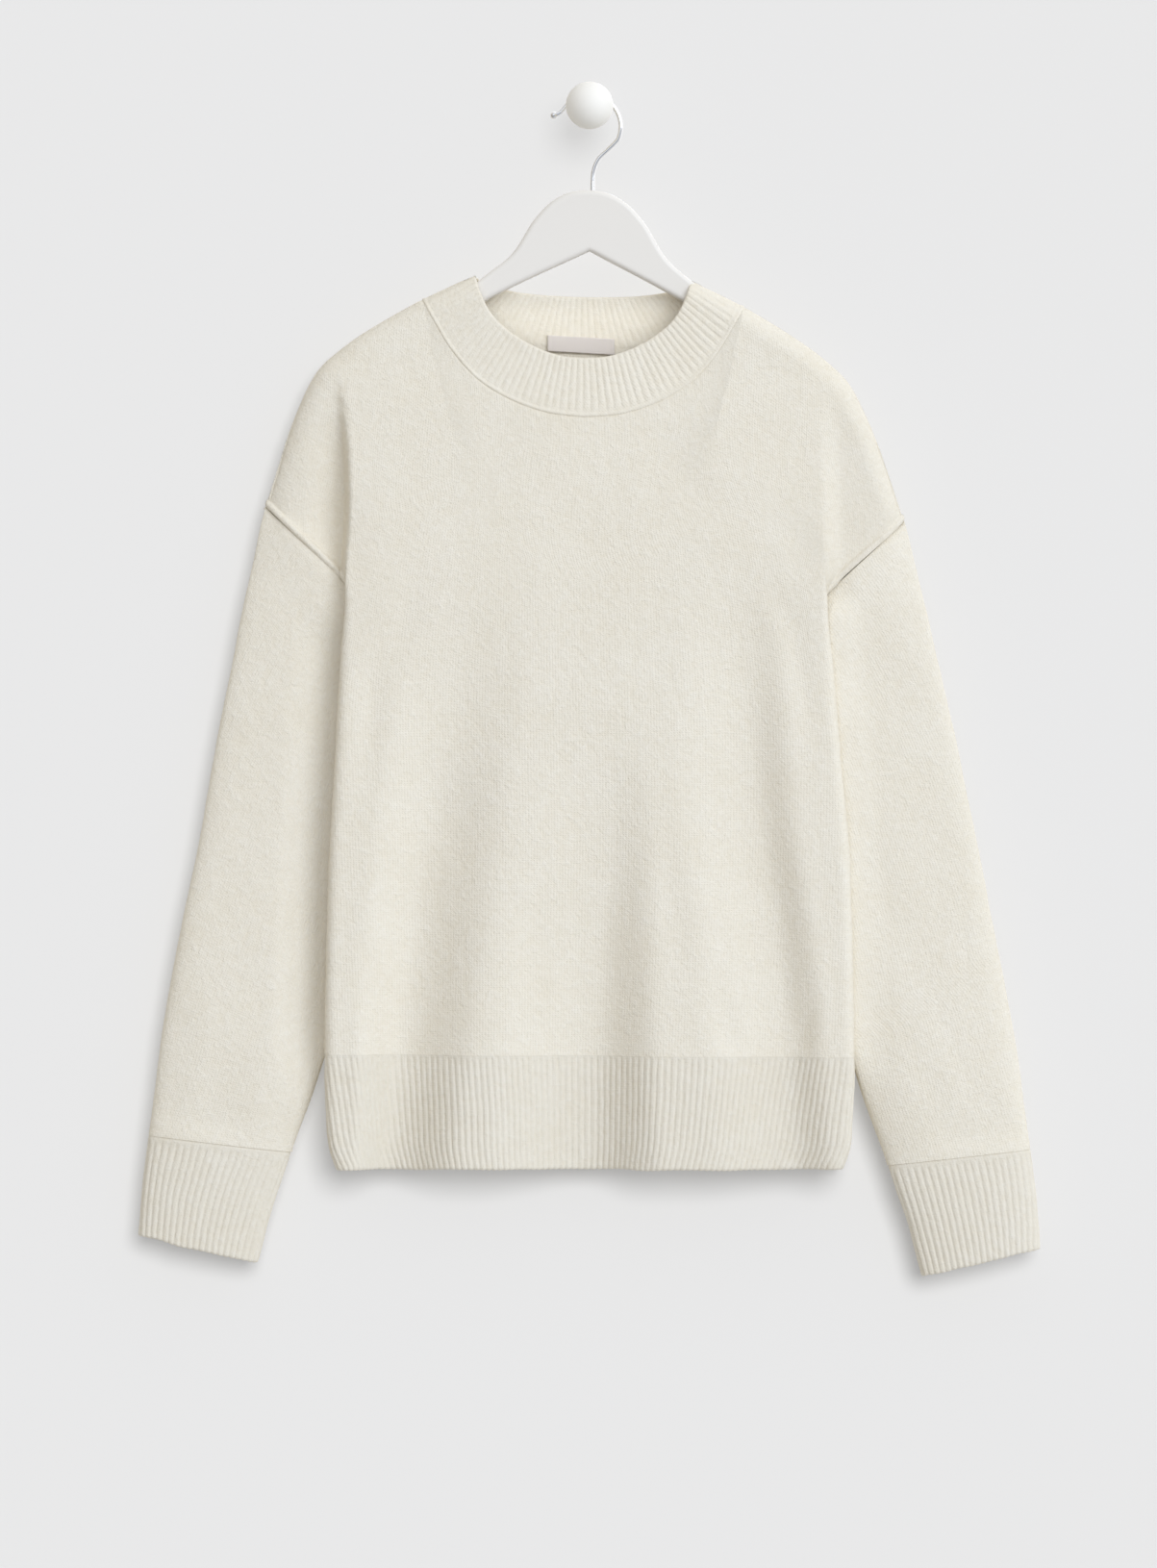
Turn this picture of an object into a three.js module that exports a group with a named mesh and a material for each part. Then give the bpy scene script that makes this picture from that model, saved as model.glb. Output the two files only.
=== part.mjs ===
import * as THREE from 'three';

// A crewneck sweater hanging on a wooden hanger, whose wire hook rests on a wall knob.
// Millimetres, +Z up, X to the right as the front is faced. The wall is the plane Y = 0, and
// "out" is the distance in front of it (so Y = -out). The origin is the middle of the knob's wall face.

// Cloth
const knitWall = 2.4;
const ribWall = 2.0;
const ribRelief = 1.0;
const seamGap = 0.3;
const seamRoll = 1.6;
const underarmGap = 1.2;

// Heights of the main levels
const underarmZ = -450;
const hemTopZ = -660;
const hemBottomZ = -740;
const crestOut = 28;
const crestArch = 14;
const sideOut = 31;

// How the upper garment leans on the hanger: a drop across its width and a shift to the left
const leanSlope = 0.023;
const leanShift = -4.5;
const leanTopZ = -200;
const leanRootZ = -500;
const leanFullZ = -400;

// Half the width over which the front and the back bow, and the radii of their rolled sides
const bowHalf = 170;
const frontRoll = 7;
const backRoll = 5;

// Columns of the front's and the back's walls on half the neckline, on the shoulder, on half the hem
// rib, and round the sleeve and the cuff
const frontNeckColumns = 8;
const backNeckColumns = 6;
const shoulderColumns = 5;
const hemColumns = 16;
const sleeveColumns = 20;
const cuffColumns = 48;

// Ribs
const hemRibs = 104;
const cuffRibs = 43;
const collarFrontRibs = 52;
const collarBackRibs = 42;

// Rows of numbers under named columns
function table(names, rows) {
  return rows.map((row) => Object.fromEntries(names.split(' ').map((name, i) => [name, row[i]])));
}

// The line over the top of the garment, from the neckband's top edge to the end of the shoulder
const crestLine = table('x z', [
  [75.5, -118.4],
  [112.5, -136],
  [149.5, -157.7],
  [170, -172.5],
  [186, -188],
  [199.5, -214.5],
  [209, -240],
  [215.5, -261],
  [223, -283],
]);

// Neckline, from the centre to the shoulder: the seam on the body and the band's free edge
const frontNeck = table('seamX seamZ edgeX edgeZ', [
  [0, -216.4, 0, -175],
  [25, -213.8, 15, -173.8],
  [51, -205, 32, -168.5],
  [74, -191, 50, -158.5],
  [92, -171, 63.5, -146],
  [105, -150, 71.5, -131],
  [112.5, -136, 75.5, -118.4],
]);
const backNeck = table('seamX seamZ edgeX edgeZ', [
  [0, -170, 0, -131],
  [32, -169, 22, -130.5],
  [62, -165, 43, -129],
  [88, -157, 62, -125.5],
  [104, -146, 71.5, -121.8],
  [112.5, -136, 75.5, -118.4],
]);

// The armhole, from the shoulder end (rise 1) to the underarm (rise 0). "turn" is where the body starts
// to roll back under itself, "edge" is the seam; fold 0 is flat cloth, fold 1 is fully rolled.
const armhole = table('rise turnX turnZ edgeX edgeZ frontOut backOut fold radius', [
  [0, 169, -450, 125, -450, 33, 29, 1, 7],
  [0.1, 168, -430, 130, -430, 36, 26, 1, 7],
  [0.25, 166, -388, 142, -389, 37.5, 23, 1, 6],
  [0.4, 164, -350, 154, -353, 40, 18, 0.85, 4.5],
  [0.52, 153, -318, 169, -332, 43, 14, 0, 4],
  [0.67, 168, -293, 187, -317, 40, 14, 0, 4],
  [0.85, 191, -268, 208, -298, 37, 18, 0, 4],
  [1, 209, -240, 223, -283, 28, 28, 0, 4],
]);

// The body's side below the underarm: the rolled edge, and how far the side seam is tucked in
const sides = table('z rollX tuck', [
  [-740, 171, 15],
  [-705, 177, 18],
  [-660, 183, 23],
  [-596, 183.5, 31],
  [-520, 181, 42],
  [-450, 176, 51],
]);

// How far the front and the back stand out from the wall, at the middle and at the sides
const stance = table('z frontMiddle frontSide backMiddle backSide', [
  [-740, 58, 55, 9, 9],
  [-560, 58, 56, 9, 9],
  [-450, 57, 56, 9, 9],
  [-380, 55, 53, 10, 10],
  [-320, 53, 51, 11, 12],
  [-216, 46, 43, 13, 16],
  [-175, 42, 39, 14, 17],
  [-118, 39, 39, 17, 17],
]);

// Hanging folds: the line of each valley, its depth, and its width to either side
const frontFolds = [
  table('z x deep left right', [
    [-740, -135, 27, 25, 49],
    [-596, -122.6, 21, 34, 45],
    [-496, -106, 14, 44, 42],
    [-409, -89, 6, 48, 40],
    [-350, -78, 0, 50, 40],
  ]),
  table('z x deep left right', [
    [-740, 0, 30, 75, 40],
    [-596, 8, 17, 75, 28],
    [-529, 15, 9, 72, 22],
    [-462, 18, 3, 60, 20],
    [-420, 18, 0, 60, 20],
  ]),
  table('z x deep left right', [
    [-740, 142, 13, 60, 30],
    [-596, 131, 13, 60, 30],
    [-489, 116, 11, 58, 30],
    [-380, 111, 5, 50, 30],
    [-300, 108, 0, 50, 30],
  ]),
];
const backFolds = [
  table('z x deep left right', [
    [-740, -66, 13, 50, 42],
    [-560, -60, 8, 48, 42],
    [-400, -52, 0, 46, 42],
  ]),
  table('z x deep left right', [
    [-740, 68, 12, 44, 52],
    [-560, 64, 8, 44, 50],
    [-380, 60, 0, 42, 48],
  ]),
];

// The crease beside the chest, above the underarm: how far the drop shoulder lies behind the chest
const shoulderStep = table('z left right', [
  [-356, 0, 0],
  [-335, 12, 9],
  [-300, 11, 8],
  [-250, 6, 4],
  [-200, 0, 0],
]);
const stepStartX = 165;
const stepEndX = 177;

// The sleeve, from the armhole (reach 0) to the cuff's seam (reach 1): its outer and inner edges,
// the depth of its hollow and the distance of its middle from the wall
const sleeve = table('reach outerX outerZ innerX innerZ half out', [
  [0, 223, -283, 125, -450, 9, 31],
  [0.1, 231, -314, 131, -471, 9.5, 31],
  [0.25, 243, -370, 140, -503, 10.5, 31],
  [0.4, 257, -436, 150, -543, 11.5, 31],
  [0.55, 270, -502, 162, -588, 13, 31],
  [0.7, 283, -567, 174, -631, 14.5, 31],
  [0.85, 297, -640, 188, -677, 15, 31],
  [1, 308, -722, 208, -733, 13, 31],
]);
const armholeFade = 0.3;

// The cuff, from its free end up to the sleeve's seam
const cuff = table('outerX outerZ innerX innerZ half out', [
  [315, -791, 232, -811, 10, 31],
  [312, -757, 222, -773, 11.5, 31],
  [308, -722, 208, -733, 12.5, 31],
]);

// Neckband and label
const collarWidth = 41;
const labelX = 1.5;
const labelWidth = 46;
const labelBottomZ = -169;
const labelTopZ = -158;
const labelThick = 0.8;

// How much lower the right sleeve hangs than the left, at the cuff, to either side of the middle, and
// how full its hollow is towards its edges: 1 is an ellipse, less is fuller
const sleeveHang = 4.5;
const sleeveFullness = 0.75;

// Hanger, hook and knob
const hangerThick = 12;
const hangerOut = 28;
const hangerX = 0;
const hangerLean = 0.035;
const wireRadius = 1.5;
const hookRadius = 22;
const hookX = -0.3;
const baseRadius = 11;
const baseThick = 4;
const baseChamfer = 1;
const stemRadius = 7.5;
const ballRadius = 16.5;
const ballOut = 52;

const lerp = THREE.MathUtils.lerp;

// A smooth reading of a table with named columns, at a value of its key column
function read(rows, key, at) {
  const rising = rows[0][key] < rows[rows.length - 1][key];
  const list = rising ? rows : [...rows].reverse();
  const last = list.length - 1;
  let i = 0;
  while (i < last - 1 && at > list[i + 1][key]) i++;
  const [a, b] = [list[i], list[i + 1]];
  const [before, after] = [list[Math.max(i - 1, 0)], list[Math.min(i + 2, last)]];
  const span = b[key] - a[key];
  const t = THREE.MathUtils.clamp((at - a[key]) / span, 0, 1);
  const row = {};
  for (const name of Object.keys(a)) {
    const slopeA = (b[name] - before[name]) / (b[key] - before[key]) * span;
    const slopeB = (after[name] - a[name]) / (after[key] - a[key]) * span;
    const step = t * t * (3 - 2 * t);
    row[name] = a[name] + (b[name] - a[name]) * step
      + slopeA * t * (1 - t) * (1 - t) - slopeB * t * t * (1 - t);
  }
  return row;
}

// A point of the garment before it leans: x, distance out from the wall, z
const place = (x, out, z) => new THREE.Vector3(x, -out, z);

function lean(point) {
  const fade = THREE.MathUtils.clamp((point.z - leanRootZ) / (leanTopZ - leanRootZ), 0, 1);
  const slope = leanSlope * THREE.MathUtils.clamp((point.z - hemBottomZ) / (leanFullZ - hemBottomZ), 0, 1);
  return new THREE.Vector3(point.x + leanShift * fade, point.y, point.z - slope * point.x);
}

// Distance in the plane of the wall from the line over the top of the garment
function crestDistance(x, z) {
  let nearest = Infinity;
  for (let i = 0; i + 1 < crestLine.length; i++) {
    const [a, b] = [crestLine[i], crestLine[i + 1]];
    const along = ((Math.abs(x) - a.x) * (b.x - a.x) + (z - a.z) * (b.z - a.z))
      / ((b.x - a.x) ** 2 + (b.z - a.z) ** 2);
    const t = THREE.MathUtils.clamp(along, 0, 1);
    nearest = Math.min(nearest, Math.hypot(Math.abs(x) - lerp(a.x, b.x, t), z - lerp(a.z, b.z, t)));
  }
  return nearest;
}

function foldDepth(folds, x, z) {
  let depth = 0;
  for (const rows of folds) {
    const fold = read(rows, 'z', z);
    const away = (x - fold.x) / (x < fold.x ? fold.left : fold.right);
    if (Math.abs(away) < 1) depth += Math.max(fold.deep, 0) * 0.5 * (1 + Math.cos(Math.PI * away));
  }
  return depth;
}

function stepDepth(x, z) {
  const row = read(shoulderStep, 'z', z);
  return (x < 0 ? row.left : row.right) * THREE.MathUtils.smoothstep(Math.abs(x), stepStartX, stepEndX);
}

// How far out the front or the back lies: its stance, its folds, and the arch over the hanger
function sheetOut(isFront, x, z) {
  const row = read(stance, 'z', z);
  const across = Math.min((x / bowHalf) ** 2, 1);
  const flat = isFront
    ? lerp(row.frontMiddle, row.frontSide, across) - foldDepth(frontFolds, x, z) - stepDepth(x, z)
    : lerp(row.backMiddle, row.backSide, across) + foldDepth(backFolds, x, z);
  const s = Math.min(crestDistance(x, z) / crestArch, 1);
  return crestOut + (flat - crestOut) * Math.sqrt(1 - (1 - s) ** 2);
}

// Rolls the edge of a row back under itself, from where it turns to the seam.
// Returns points from the turn (not included) to the edge.
function turnUnder(isFront, side, turn, edge, fold, radius) {
  const face = isFront ? 1 : -1;
  const start = sheetOut(isFront, side * turn.x, turn.z);
  const under = start - face * 2 * radius;
  const bend = Math.max(Math.abs(under - edge.out), 0.5);
  const rolled = [
    { x: turn.x + radius * Math.SQRT1_2, out: start - face * radius * (1 - Math.SQRT1_2) },
    { x: turn.x + radius, out: start - face * radius },
    { x: turn.x + radius * Math.SQRT1_2, out: start - face * radius * (1 + Math.SQRT1_2) },
    { x: turn.x, out: under },
    { x: Math.min(edge.x + bend, turn.x - 1), out: under - face * 0.02 * bend },
    { x: edge.x + bend * 0.22, out: lerp(under, edge.out, 0.32) },
    { x: edge.x, out: edge.out },
  ];
  const shares = [0.15, 0.3, 0.45, 0.62, 0.84, 0.92, 1];
  return rolled.map((point, k) => {
    const share = shares[k];
    const z = lerp(turn.z, edge.z, share);
    const flatX = lerp(turn.x, edge.x, share);
    const flatOut = lerp(sheetOut(isFront, side * flatX, z), edge.out, share ** 4);
    return place(side * lerp(flatX, point.x, fold), lerp(flatOut, point.out, fold), z);
  });
}

// One row of the body below the underarm, from one side seam to the other
function bodyRow(isFront, z, flatColumns) {
  const side = read(sides, 'z', z);
  const radius = isFront ? frontRoll : backRoll;
  const turn = { x: side.rollX - radius, z };
  const edge = { x: side.rollX - side.tuck, z, out: sideOut + (isFront ? 0.5 : -0.5) * seamGap };
  const wings = [-1, 1].map((s) => turnUnder(isFront, s, turn, edge, 1, radius));
  const row = [];
  for (let k = -flatColumns; k <= flatColumns; k++) {
    const x = turn.x * k / flatColumns;
    row.push(place(x, sheetOut(isFront, x, z), z));
  }
  return [...wings[0].reverse(), ...row, ...wings[1]];
}

// A table of x and z read as a smooth curve, in equal steps
function spaced(rows, xName, zName, steps) {
  const points = rows.map((row) => new THREE.Vector3(row[xName], 0, row[zName]));
  return new THREE.CatmullRomCurve3(points, false, 'centripetal').getSpacedPoints(steps);
}

// Points in equal steps of number along a line of points, so that two neighbours share its chords
function chords(points, steps) {
  const last = points.length - 1;
  return Array.from({ length: steps + 1 }, (_, k) => {
    const at = k / steps * last;
    const i = Math.min(Math.floor(at), last - 1);
    return points[i].clone().lerp(points[i + 1], at - i);
  });
}

// The top edge of half the front or back: neckline, then shoulder, to where the armhole strip starts
function topEdge(isFront, neckColumns) {
  const neck = spaced(isFront ? frontNeck : backNeck, 'seamX', 'seamZ', neckColumns);
  const shoulder = spaced(crestLine.slice(1, 7), 'x', 'z', shoulderColumns);
  return [...neck, ...shoulder.slice(1)];
}

// One row of the yoke, above the underarm, at a rise from 0 to 1: it lies between the underarm's row
// and the top edge, and is moved so that its end meets the armhole's turn
function yokeRow(isFront, rise, top) {
  const row = read(armhole, 'rise', rise);
  const radius = isFront ? row.radius : Math.min(row.radius - 1.5, backRoll);
  const last = top[top.length - 1];
  const turn = rise === 1 ? { x: last.x, z: last.z } : { x: row.turnX, z: row.turnZ };
  const halfGap = (isFront ? 0.5 : -0.5) * seamGap;
  const edge = { x: row.edgeX, z: row.edgeZ, out: (isFront ? row.frontOut : row.backOut) + halfGap };
  const shiftX = turn.x - lerp(armhole[0].turnX, last.x, rise);
  const shiftZ = turn.z - lerp(underarmZ, last.z, rise);
  const half = top.map((point, k) => {
    const share = k / (top.length - 1);
    const x = lerp(armhole[0].turnX * share, point.x, rise) + shiftX * share;
    const z = lerp(underarmZ, point.z, rise) + shiftZ * share;
    return { x, z, onCrest: crestDistance(x, z) < 0.5 };
  });
  const flatOf = (s) => half.map(({ x, z, onCrest }) => (
    place(s * x, onCrest ? crestOut + halfGap : sheetOut(isFront, s * x, z), z)
  ));
  const wings = [-1, 1].map((s) => turnUnder(isFront, s, turn, edge, row.fold, radius));
  return [...wings[0].reverse(), ...flatOf(-1).reverse(), ...flatOf(1).slice(1), ...wings[1]];
}

// Outward unit normals of a grid of points; "round" joins the last column to the first
function gridNormals(grid, round) {
  const rows = grid.length;
  const columns = grid[0].length;
  return grid.map((line, i) => line.map((_, j) => {
    const next = round ? (j + 1) % columns : Math.min(j + 1, columns - 1);
    const previous = round ? (j + columns - 1) % columns : Math.max(j - 1, 0);
    const across = grid[i][next].clone().sub(grid[i][previous]);
    const up = grid[Math.min(i + 1, rows - 1)][j].clone().sub(grid[Math.max(i - 1, 0)][j]);
    return across.cross(up).normalize();
  }));
}

// A closed wall between an outer and an inner grid. Rows run upwards and columns to the right as the
// outer face is seen. The inner grid has as many columns as the outer, or one for every two.
function wallGeometry(outer, inner, round) {
  const positions = [];
  const indices = [];
  const ratio = Math.round((outer[0].length - (round ? 0 : 1)) / (inner[0].length - (round ? 0 : 1)));
  const rows = outer.length;
  const columns = outer[0].length;
  const innerColumns = inner[0].length;
  for (const p of [...outer, ...inner].flat()) positions.push(p.x, p.y, p.z);
  const out = (i, j) => i * columns + j % columns;
  const back = (i, j) => (rows * columns) + i * innerColumns + j % innerColumns;
  const quad = (a, b, c, d) => indices.push(a, b, c, a, c, d);
  const steps = round ? columns : columns - 1;
  const innerSteps = round ? innerColumns : innerColumns - 1;
  for (let i = 0; i + 1 < rows; i++) {
    for (let j = 0; j < steps; j++) {
      quad(out(i, j), out(i, j + 1), out(i + 1, j + 1), out(i + 1, j));
    }
    for (let j = 0; j < innerSteps; j++) {
      quad(back(i, j), back(i + 1, j), back(i + 1, j + 1), back(i, j + 1));
    }
  }
  for (let j = 0; j < innerSteps; j++) {
    const top = rows - 1;
    for (let k = 0; k < ratio; k++) {
      indices.push(out(0, ratio * j + k + 1), out(0, ratio * j + k), back(0, j));
      indices.push(out(top, ratio * j + k), out(top, ratio * j + k + 1), back(top, j));
    }
    indices.push(back(0, j), back(0, j + 1), out(0, ratio * (j + 1)));
    indices.push(back(top, j + 1), back(top, j), out(top, ratio * (j + 1)));
  }
  if (!round) {
    const [endOut, endIn] = [columns - 1, innerColumns - 1];
    for (let i = 0; i + 1 < rows; i++) {
      quad(out(i, 0), out(i + 1, 0), back(i + 1, 0), back(i, 0));
      quad(out(i + 1, endOut), out(i, endOut), back(i, endIn), back(i + 1, endIn));
    }
  }
  const geometry = new THREE.BufferGeometry();
  geometry.setAttribute('position', new THREE.Float32BufferAttribute(positions, 3));
  geometry.setIndex(indices);
  geometry.computeVertexNormals();
  return geometry;
}

// The normal that two pieces share along the neckline and over the shoulder, so that their ends are
// parallel; "own" is the normal of the piece's own grid there
function seamNormal(isFront, point, own) {
  if (crestDistance(point.x, point.z) < 1) return own.clone().setY(0).normalize();
  const step = 0.5;
  const slopeX = sheetOut(isFront, point.x + step, point.z) - sheetOut(isFront, point.x - step, point.z);
  const slopeZ = sheetOut(isFront, point.x, point.z + step) - sheetOut(isFront, point.x, point.z - step);
  const normal = place(-slopeX, 2 * step, -slopeZ).normalize();
  return isFront ? normal : normal.negate();
}

// A wall of even thickness behind a grid, with a relief raised in its outer points
function clothWall(grid, { round = false, thick = knitWall, relief = () => 0, every = 1, shared = {} }) {
  const normals = gridNormals(grid, round);
  if (shared.row !== undefined) {
    const seam = grid[shared.row];
    normals[shared.row] = normals[shared.row].map((own, j) => seamNormal(shared.isFront(j), seam[j], own));
  }
  const moved = (by) => grid.map((row, i) => row.map((p, j) => (
    p.clone().addScaledVector(normals[i][j], by(i, j))
  )));
  const outer = moved(relief);
  const inner = moved(() => -thick).map((row) => row.filter((_, j) => j % every === 0));
  const leaned = (g) => g.map((row) => row.map((p) => lean(p)));
  return wallGeometry(leaned(outer), leaned(inner), round);
}

// Doubles the columns of a grid to one crest and one groove for each rib, in equal steps of length
function ribColumns(grid, ribs, round) {
  return grid.map((row) => {
    const curve = new THREE.CatmullRomCurve3(row, round, 'centripetal');
    curve.arcLengthDivisions = 4 * row.length + ribs;
    const points = curve.getSpacedPoints(2 * ribs);
    return round ? points.slice(0, -1) : points;
  });
}

const ribRise = (_, j) => (j % 2 === 1 ? ribRelief : 0);

// The back's rows run the other way, so that its outer face also has its columns to the right
const facing = (isFront, rows) => (isFront ? rows : rows.map((row) => [...row].reverse()));

const yokeRises = [0.1, 0.2, 0.3, 0.4, 0.46, 0.52, 0.6, 0.7, 0.8, 0.88, 0.94, 0.975, 1];

function bodyPanel(isFront) {
  const neckColumns = isFront ? frontNeckColumns : backNeckColumns;
  const levels = isFront ? 6 : 4;
  const top = topEdge(isFront, neckColumns);
  const flatColumns = neckColumns + shoulderColumns;
  const rows = [];
  for (let i = 0; i <= levels; i++) {
    rows.push(bodyRow(isFront, lerp(hemTopZ + seamGap / 2, underarmZ, i / levels), flatColumns));
  }
  for (const rise of yokeRises) rows.push(yokeRow(isFront, rise, top));
  const lastColumn = rows[0].length - 1;
  const isRoll = (i, j) => i > levels && (j === 1 || j === lastColumn - 1);
  return clothWall(facing(isFront, rows), {
    relief: (i, j) => (isRoll(i, j) ? seamRoll : 0),
    shared: { row: rows.length - 1, isFront: () => isFront },
  });
}

function hemRib(isFront) {
  const levels = [hemBottomZ, lerp(hemBottomZ, hemTopZ, 0.5), hemTopZ - seamGap / 2];
  const rows = facing(isFront, levels.map((z) => bodyRow(isFront, z, hemColumns)));
  return clothWall(ribColumns(rows, hemRibs, false), { thick: ribWall, relief: ribRise, every: 2 });
}

// The points once round the neckline: over the front from the left shoulder to the right one, then
// over the back
function neckLoop(xName, zName) {
  return [true, false].flatMap((isFront) => {
    const columns = isFront ? frontNeckColumns : backNeckColumns;
    const ribs = isFront ? collarFrontRibs : collarBackRibs;
    const half = chords(spaced(isFront ? frontNeck : backNeck, xName, zName, columns), ribs);
    return Array.from({ length: 2 * ribs }, (_, i) => {
      const k = ribs - i;
      const p = half[Math.abs(k)];
      return { isFront, x: (isFront ? -1 : 1) * Math.sign(k) * p.x, z: p.z };
    });
  });
}

function neckband() {
  const seam = neckLoop('seamX', 'seamZ');
  const edge = neckLoop('edgeX', 'edgeZ');
  const rows = [2 * seamGap / collarWidth, 0.5, 1].map((share) => seam.map((p, k) => {
    const x = lerp(p.x, edge[k].x, share);
    const z = lerp(p.z, edge[k].z, share);
    return place(x, sheetOut(p.isFront, x, z), z);
  }));
  return clothWall(rows, {
    round: true,
    thick: ribWall,
    relief: ribRise,
    every: 2,
    shared: { row: 0, isFront: (j) => seam[j].isFront },
  });
}

// A bare woven label on the inner face of the band's back, from that face's points moved out
function neckLabel() {
  const columns = 4;
  const rows = [labelBottomZ, labelTopZ].map((z) => {
    const row = [];
    for (let k = 0; k <= columns; k++) {
      const x = labelX + (k / columns - 0.5) * labelWidth;
      row.push(place(x, sheetOut(false, x, z) + ribWall + seamGap + labelThick, z));
    }
    return row;
  });
  return clothWall(rows, { thick: labelThick });
}

// Half the armhole as the sleeve sees it, at a share s from the shoulder end (0) to the underarm (1)
function armholePoint(isFront, s) {
  const row = read(armhole, 'rise', 1 - s);
  const clear = seamGap + underarmGap * Math.max(2 * s - 1, 0);
  return { x: row.edgeX + clear, z: row.edgeZ, out: isFront ? row.frontOut : row.backOut };
}

// A ring of the sleeve at a row of its table; an inset gives the ring of its inner face
function sleeveRing(side, row, blend, steps, inset, drop) {
  const ring = [];
  const width = Math.hypot(row.outerX - row.innerX, row.outerZ - row.innerZ);
  for (let k = 0; k < steps; k++) {
    const angle = 2 * Math.PI * k / steps;
    const isFront = Math.sin(angle) >= 0;
    const rise = (isFront ? 1 : -1) * Math.abs(Math.sin(angle)) ** sleeveFullness;
    const s = 0.5 - Math.cos(angle) * (0.5 - inset / width);
    const lens = {
      x: lerp(row.outerX, row.innerX, s),
      z: lerp(row.outerZ, row.innerZ, s),
      out: row.out + (row.half - inset) * rise,
    };
    const hole = armholePoint(isFront, s);
    const middle = lerp(crestOut, sideOut, s);
    const reach = Math.max(Math.abs(hole.out - middle), 0.01);
    hole.out = middle + (hole.out - middle) * Math.max(reach - inset, 0.2) / reach;
    ring.push(place(
      side * lerp(lens.x, hole.x, blend),
      lerp(lens.out, hole.out, blend),
      lerp(lens.z, hole.z, blend) - drop,
    ));
  }
  return side > 0 ? ring.reverse() : ring;
}

const sleeveDrop = (side, reach) => sleeveHang * side * reach;

function sleeveGeometry(side) {
  const reaches = [0.003, 0.03, 0.07, 0.12, 0.18, 0.25, 0.34, 0.44, 0.55, 0.66, 0.77, 0.89, 0.998];
  const grids = [0, knitWall].map((inset) => [...reaches].reverse().map((reach) => {
    const row = read(sleeve, 'reach', reach);
    const blend = Math.max(1 - reach / armholeFade, 0) ** 2;
    return sleeveRing(side, row, blend, sleeveColumns, inset, sleeveDrop(side, reach)).map((p) => lean(p));
  }));
  return wallGeometry(grids[0], grids[1], true);
}

function cuffGeometry(side) {
  const drop = sleeveDrop(side, 1) + seamGap;
  const rings = cuff.map((row) => sleeveRing(side, row, 0, cuffColumns, 0, drop));
  const ribbed = ribColumns(rings, cuffRibs, true);
  return clothWall(ribbed, { round: true, thick: ribWall, relief: ribRise, every: 2 });
}

// A flat wooden hanger with a high middle and straight arms, rounded along its edges
function hangerGeometry() {
  const [topZ, apexZ] = [-57.2, -99.8];
  const half = [
    [8, -57.8], [16, -60], [25, -65], [32, -71.3], [40, -81], [45, -89.3], [50, -97.8], [55, -104.5],
    [60, -109.2], [64.5, -113.2], [66.6, -123.8], [72, -127.5], [80, -133], [106, -153], [143, -170.5],
    [158, -181], [162, -187], [160, -193], [152, -195], [140, -190], [110, -170.5], [88, -152], [68, -134.4],
  ];
  const shape = new THREE.Shape();
  shape.moveTo(0, topZ);
  for (const [x, z] of half) shape.lineTo(x, z);
  shape.lineTo(0, apexZ);
  for (const [x, z] of [...half].reverse()) shape.lineTo(-x, z);
  const bevel = 3.5;
  const geometry = new THREE.ExtrudeGeometry(shape, {
    depth: hangerThick - 2 * bevel,
    bevelThickness: bevel,
    bevelSize: bevel,
    bevelOffset: -bevel,
    bevelSegments: 2,
    steps: 1,
  });
  geometry.rotateX(Math.PI / 2);
  geometry.translate(hangerX, -hangerOut + (hangerThick - 2 * bevel) / 2, 0);
  const spots = geometry.attributes.position;
  for (let i = 0; i < spots.count; i++) {
    spots.setZ(i, spots.getZ(i) - hangerLean * (spots.getX(i) - hangerX));
  }
  return geometry;
}

// The wire hook: a straight stem out of the hanger, an open bow over the knob's stem, a flared tip
function hookGeometry() {
  const middleZ = stemRadius + seamGap + wireRadius - hookRadius;
  const path = [[2, -57.1], [2.1, -50], [2.7, -43.5], [6, -35.5], [12, -29.5], [17.4, -24.4]];
  for (let angle = -22; angle <= 150; angle += 21.5) {
    const turn = THREE.MathUtils.degToRad(angle);
    path.push([hookX + hookRadius * Math.cos(turn), middleZ + hookRadius * Math.sin(turn)]);
  }
  path.push([-21.2, -3.2], [-25, -4.9]);
  const curve = new THREE.CatmullRomCurve3(path.map(([x, z]) => place(x, hangerOut, z)));
  const section = new THREE.Shape().absarc(0, 0, wireRadius, 0, 2 * Math.PI);
  return new THREE.ExtrudeGeometry(section, { steps: 36, curveSegments: 4, extrudePath: curve });
}

// A round knob: a base on the wall, a stem and a ball
function knobGeometry() {
  const profile = [
    [0, 0], [baseRadius, 0], [baseRadius, baseThick - baseChamfer], [baseRadius - baseChamfer, baseThick],
    [stemRadius, baseThick],
  ];
  const first = Math.asin(stemRadius / ballRadius);
  const [ballSteps, sides] = [12, 20];
  for (let k = 0; k < ballSteps; k++) {
    const angle = lerp(first, Math.PI, k / ballSteps);
    profile.push([ballRadius * Math.sin(angle), ballOut - ballRadius * Math.cos(angle)]);
  }
  profile.push([0, ballOut + ballRadius]);
  const geometry = new THREE.LatheGeometry(profile.map(([r, y]) => new THREE.Vector2(r, y)), sides);
  geometry.rotateX(Math.PI);
  return geometry;
}

const knit = new THREE.MeshStandardMaterial({ color: 0xe3dfd3, roughness: 0.95, metalness: 0 });
const rib = new THREE.MeshStandardMaterial({ color: 0xe0dccf, roughness: 0.95, metalness: 0 });
const woven = new THREE.MeshStandardMaterial({ color: 0xdfd8d4, roughness: 0.8, metalness: 0 });
const paintedWood = new THREE.MeshStandardMaterial({ color: 0xe6e5e3, roughness: 0.45, metalness: 0 });
const chrome = new THREE.MeshStandardMaterial({ color: 0xc9c9c9, roughness: 0.15, metalness: 1 });

const group = new THREE.Group();

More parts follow.
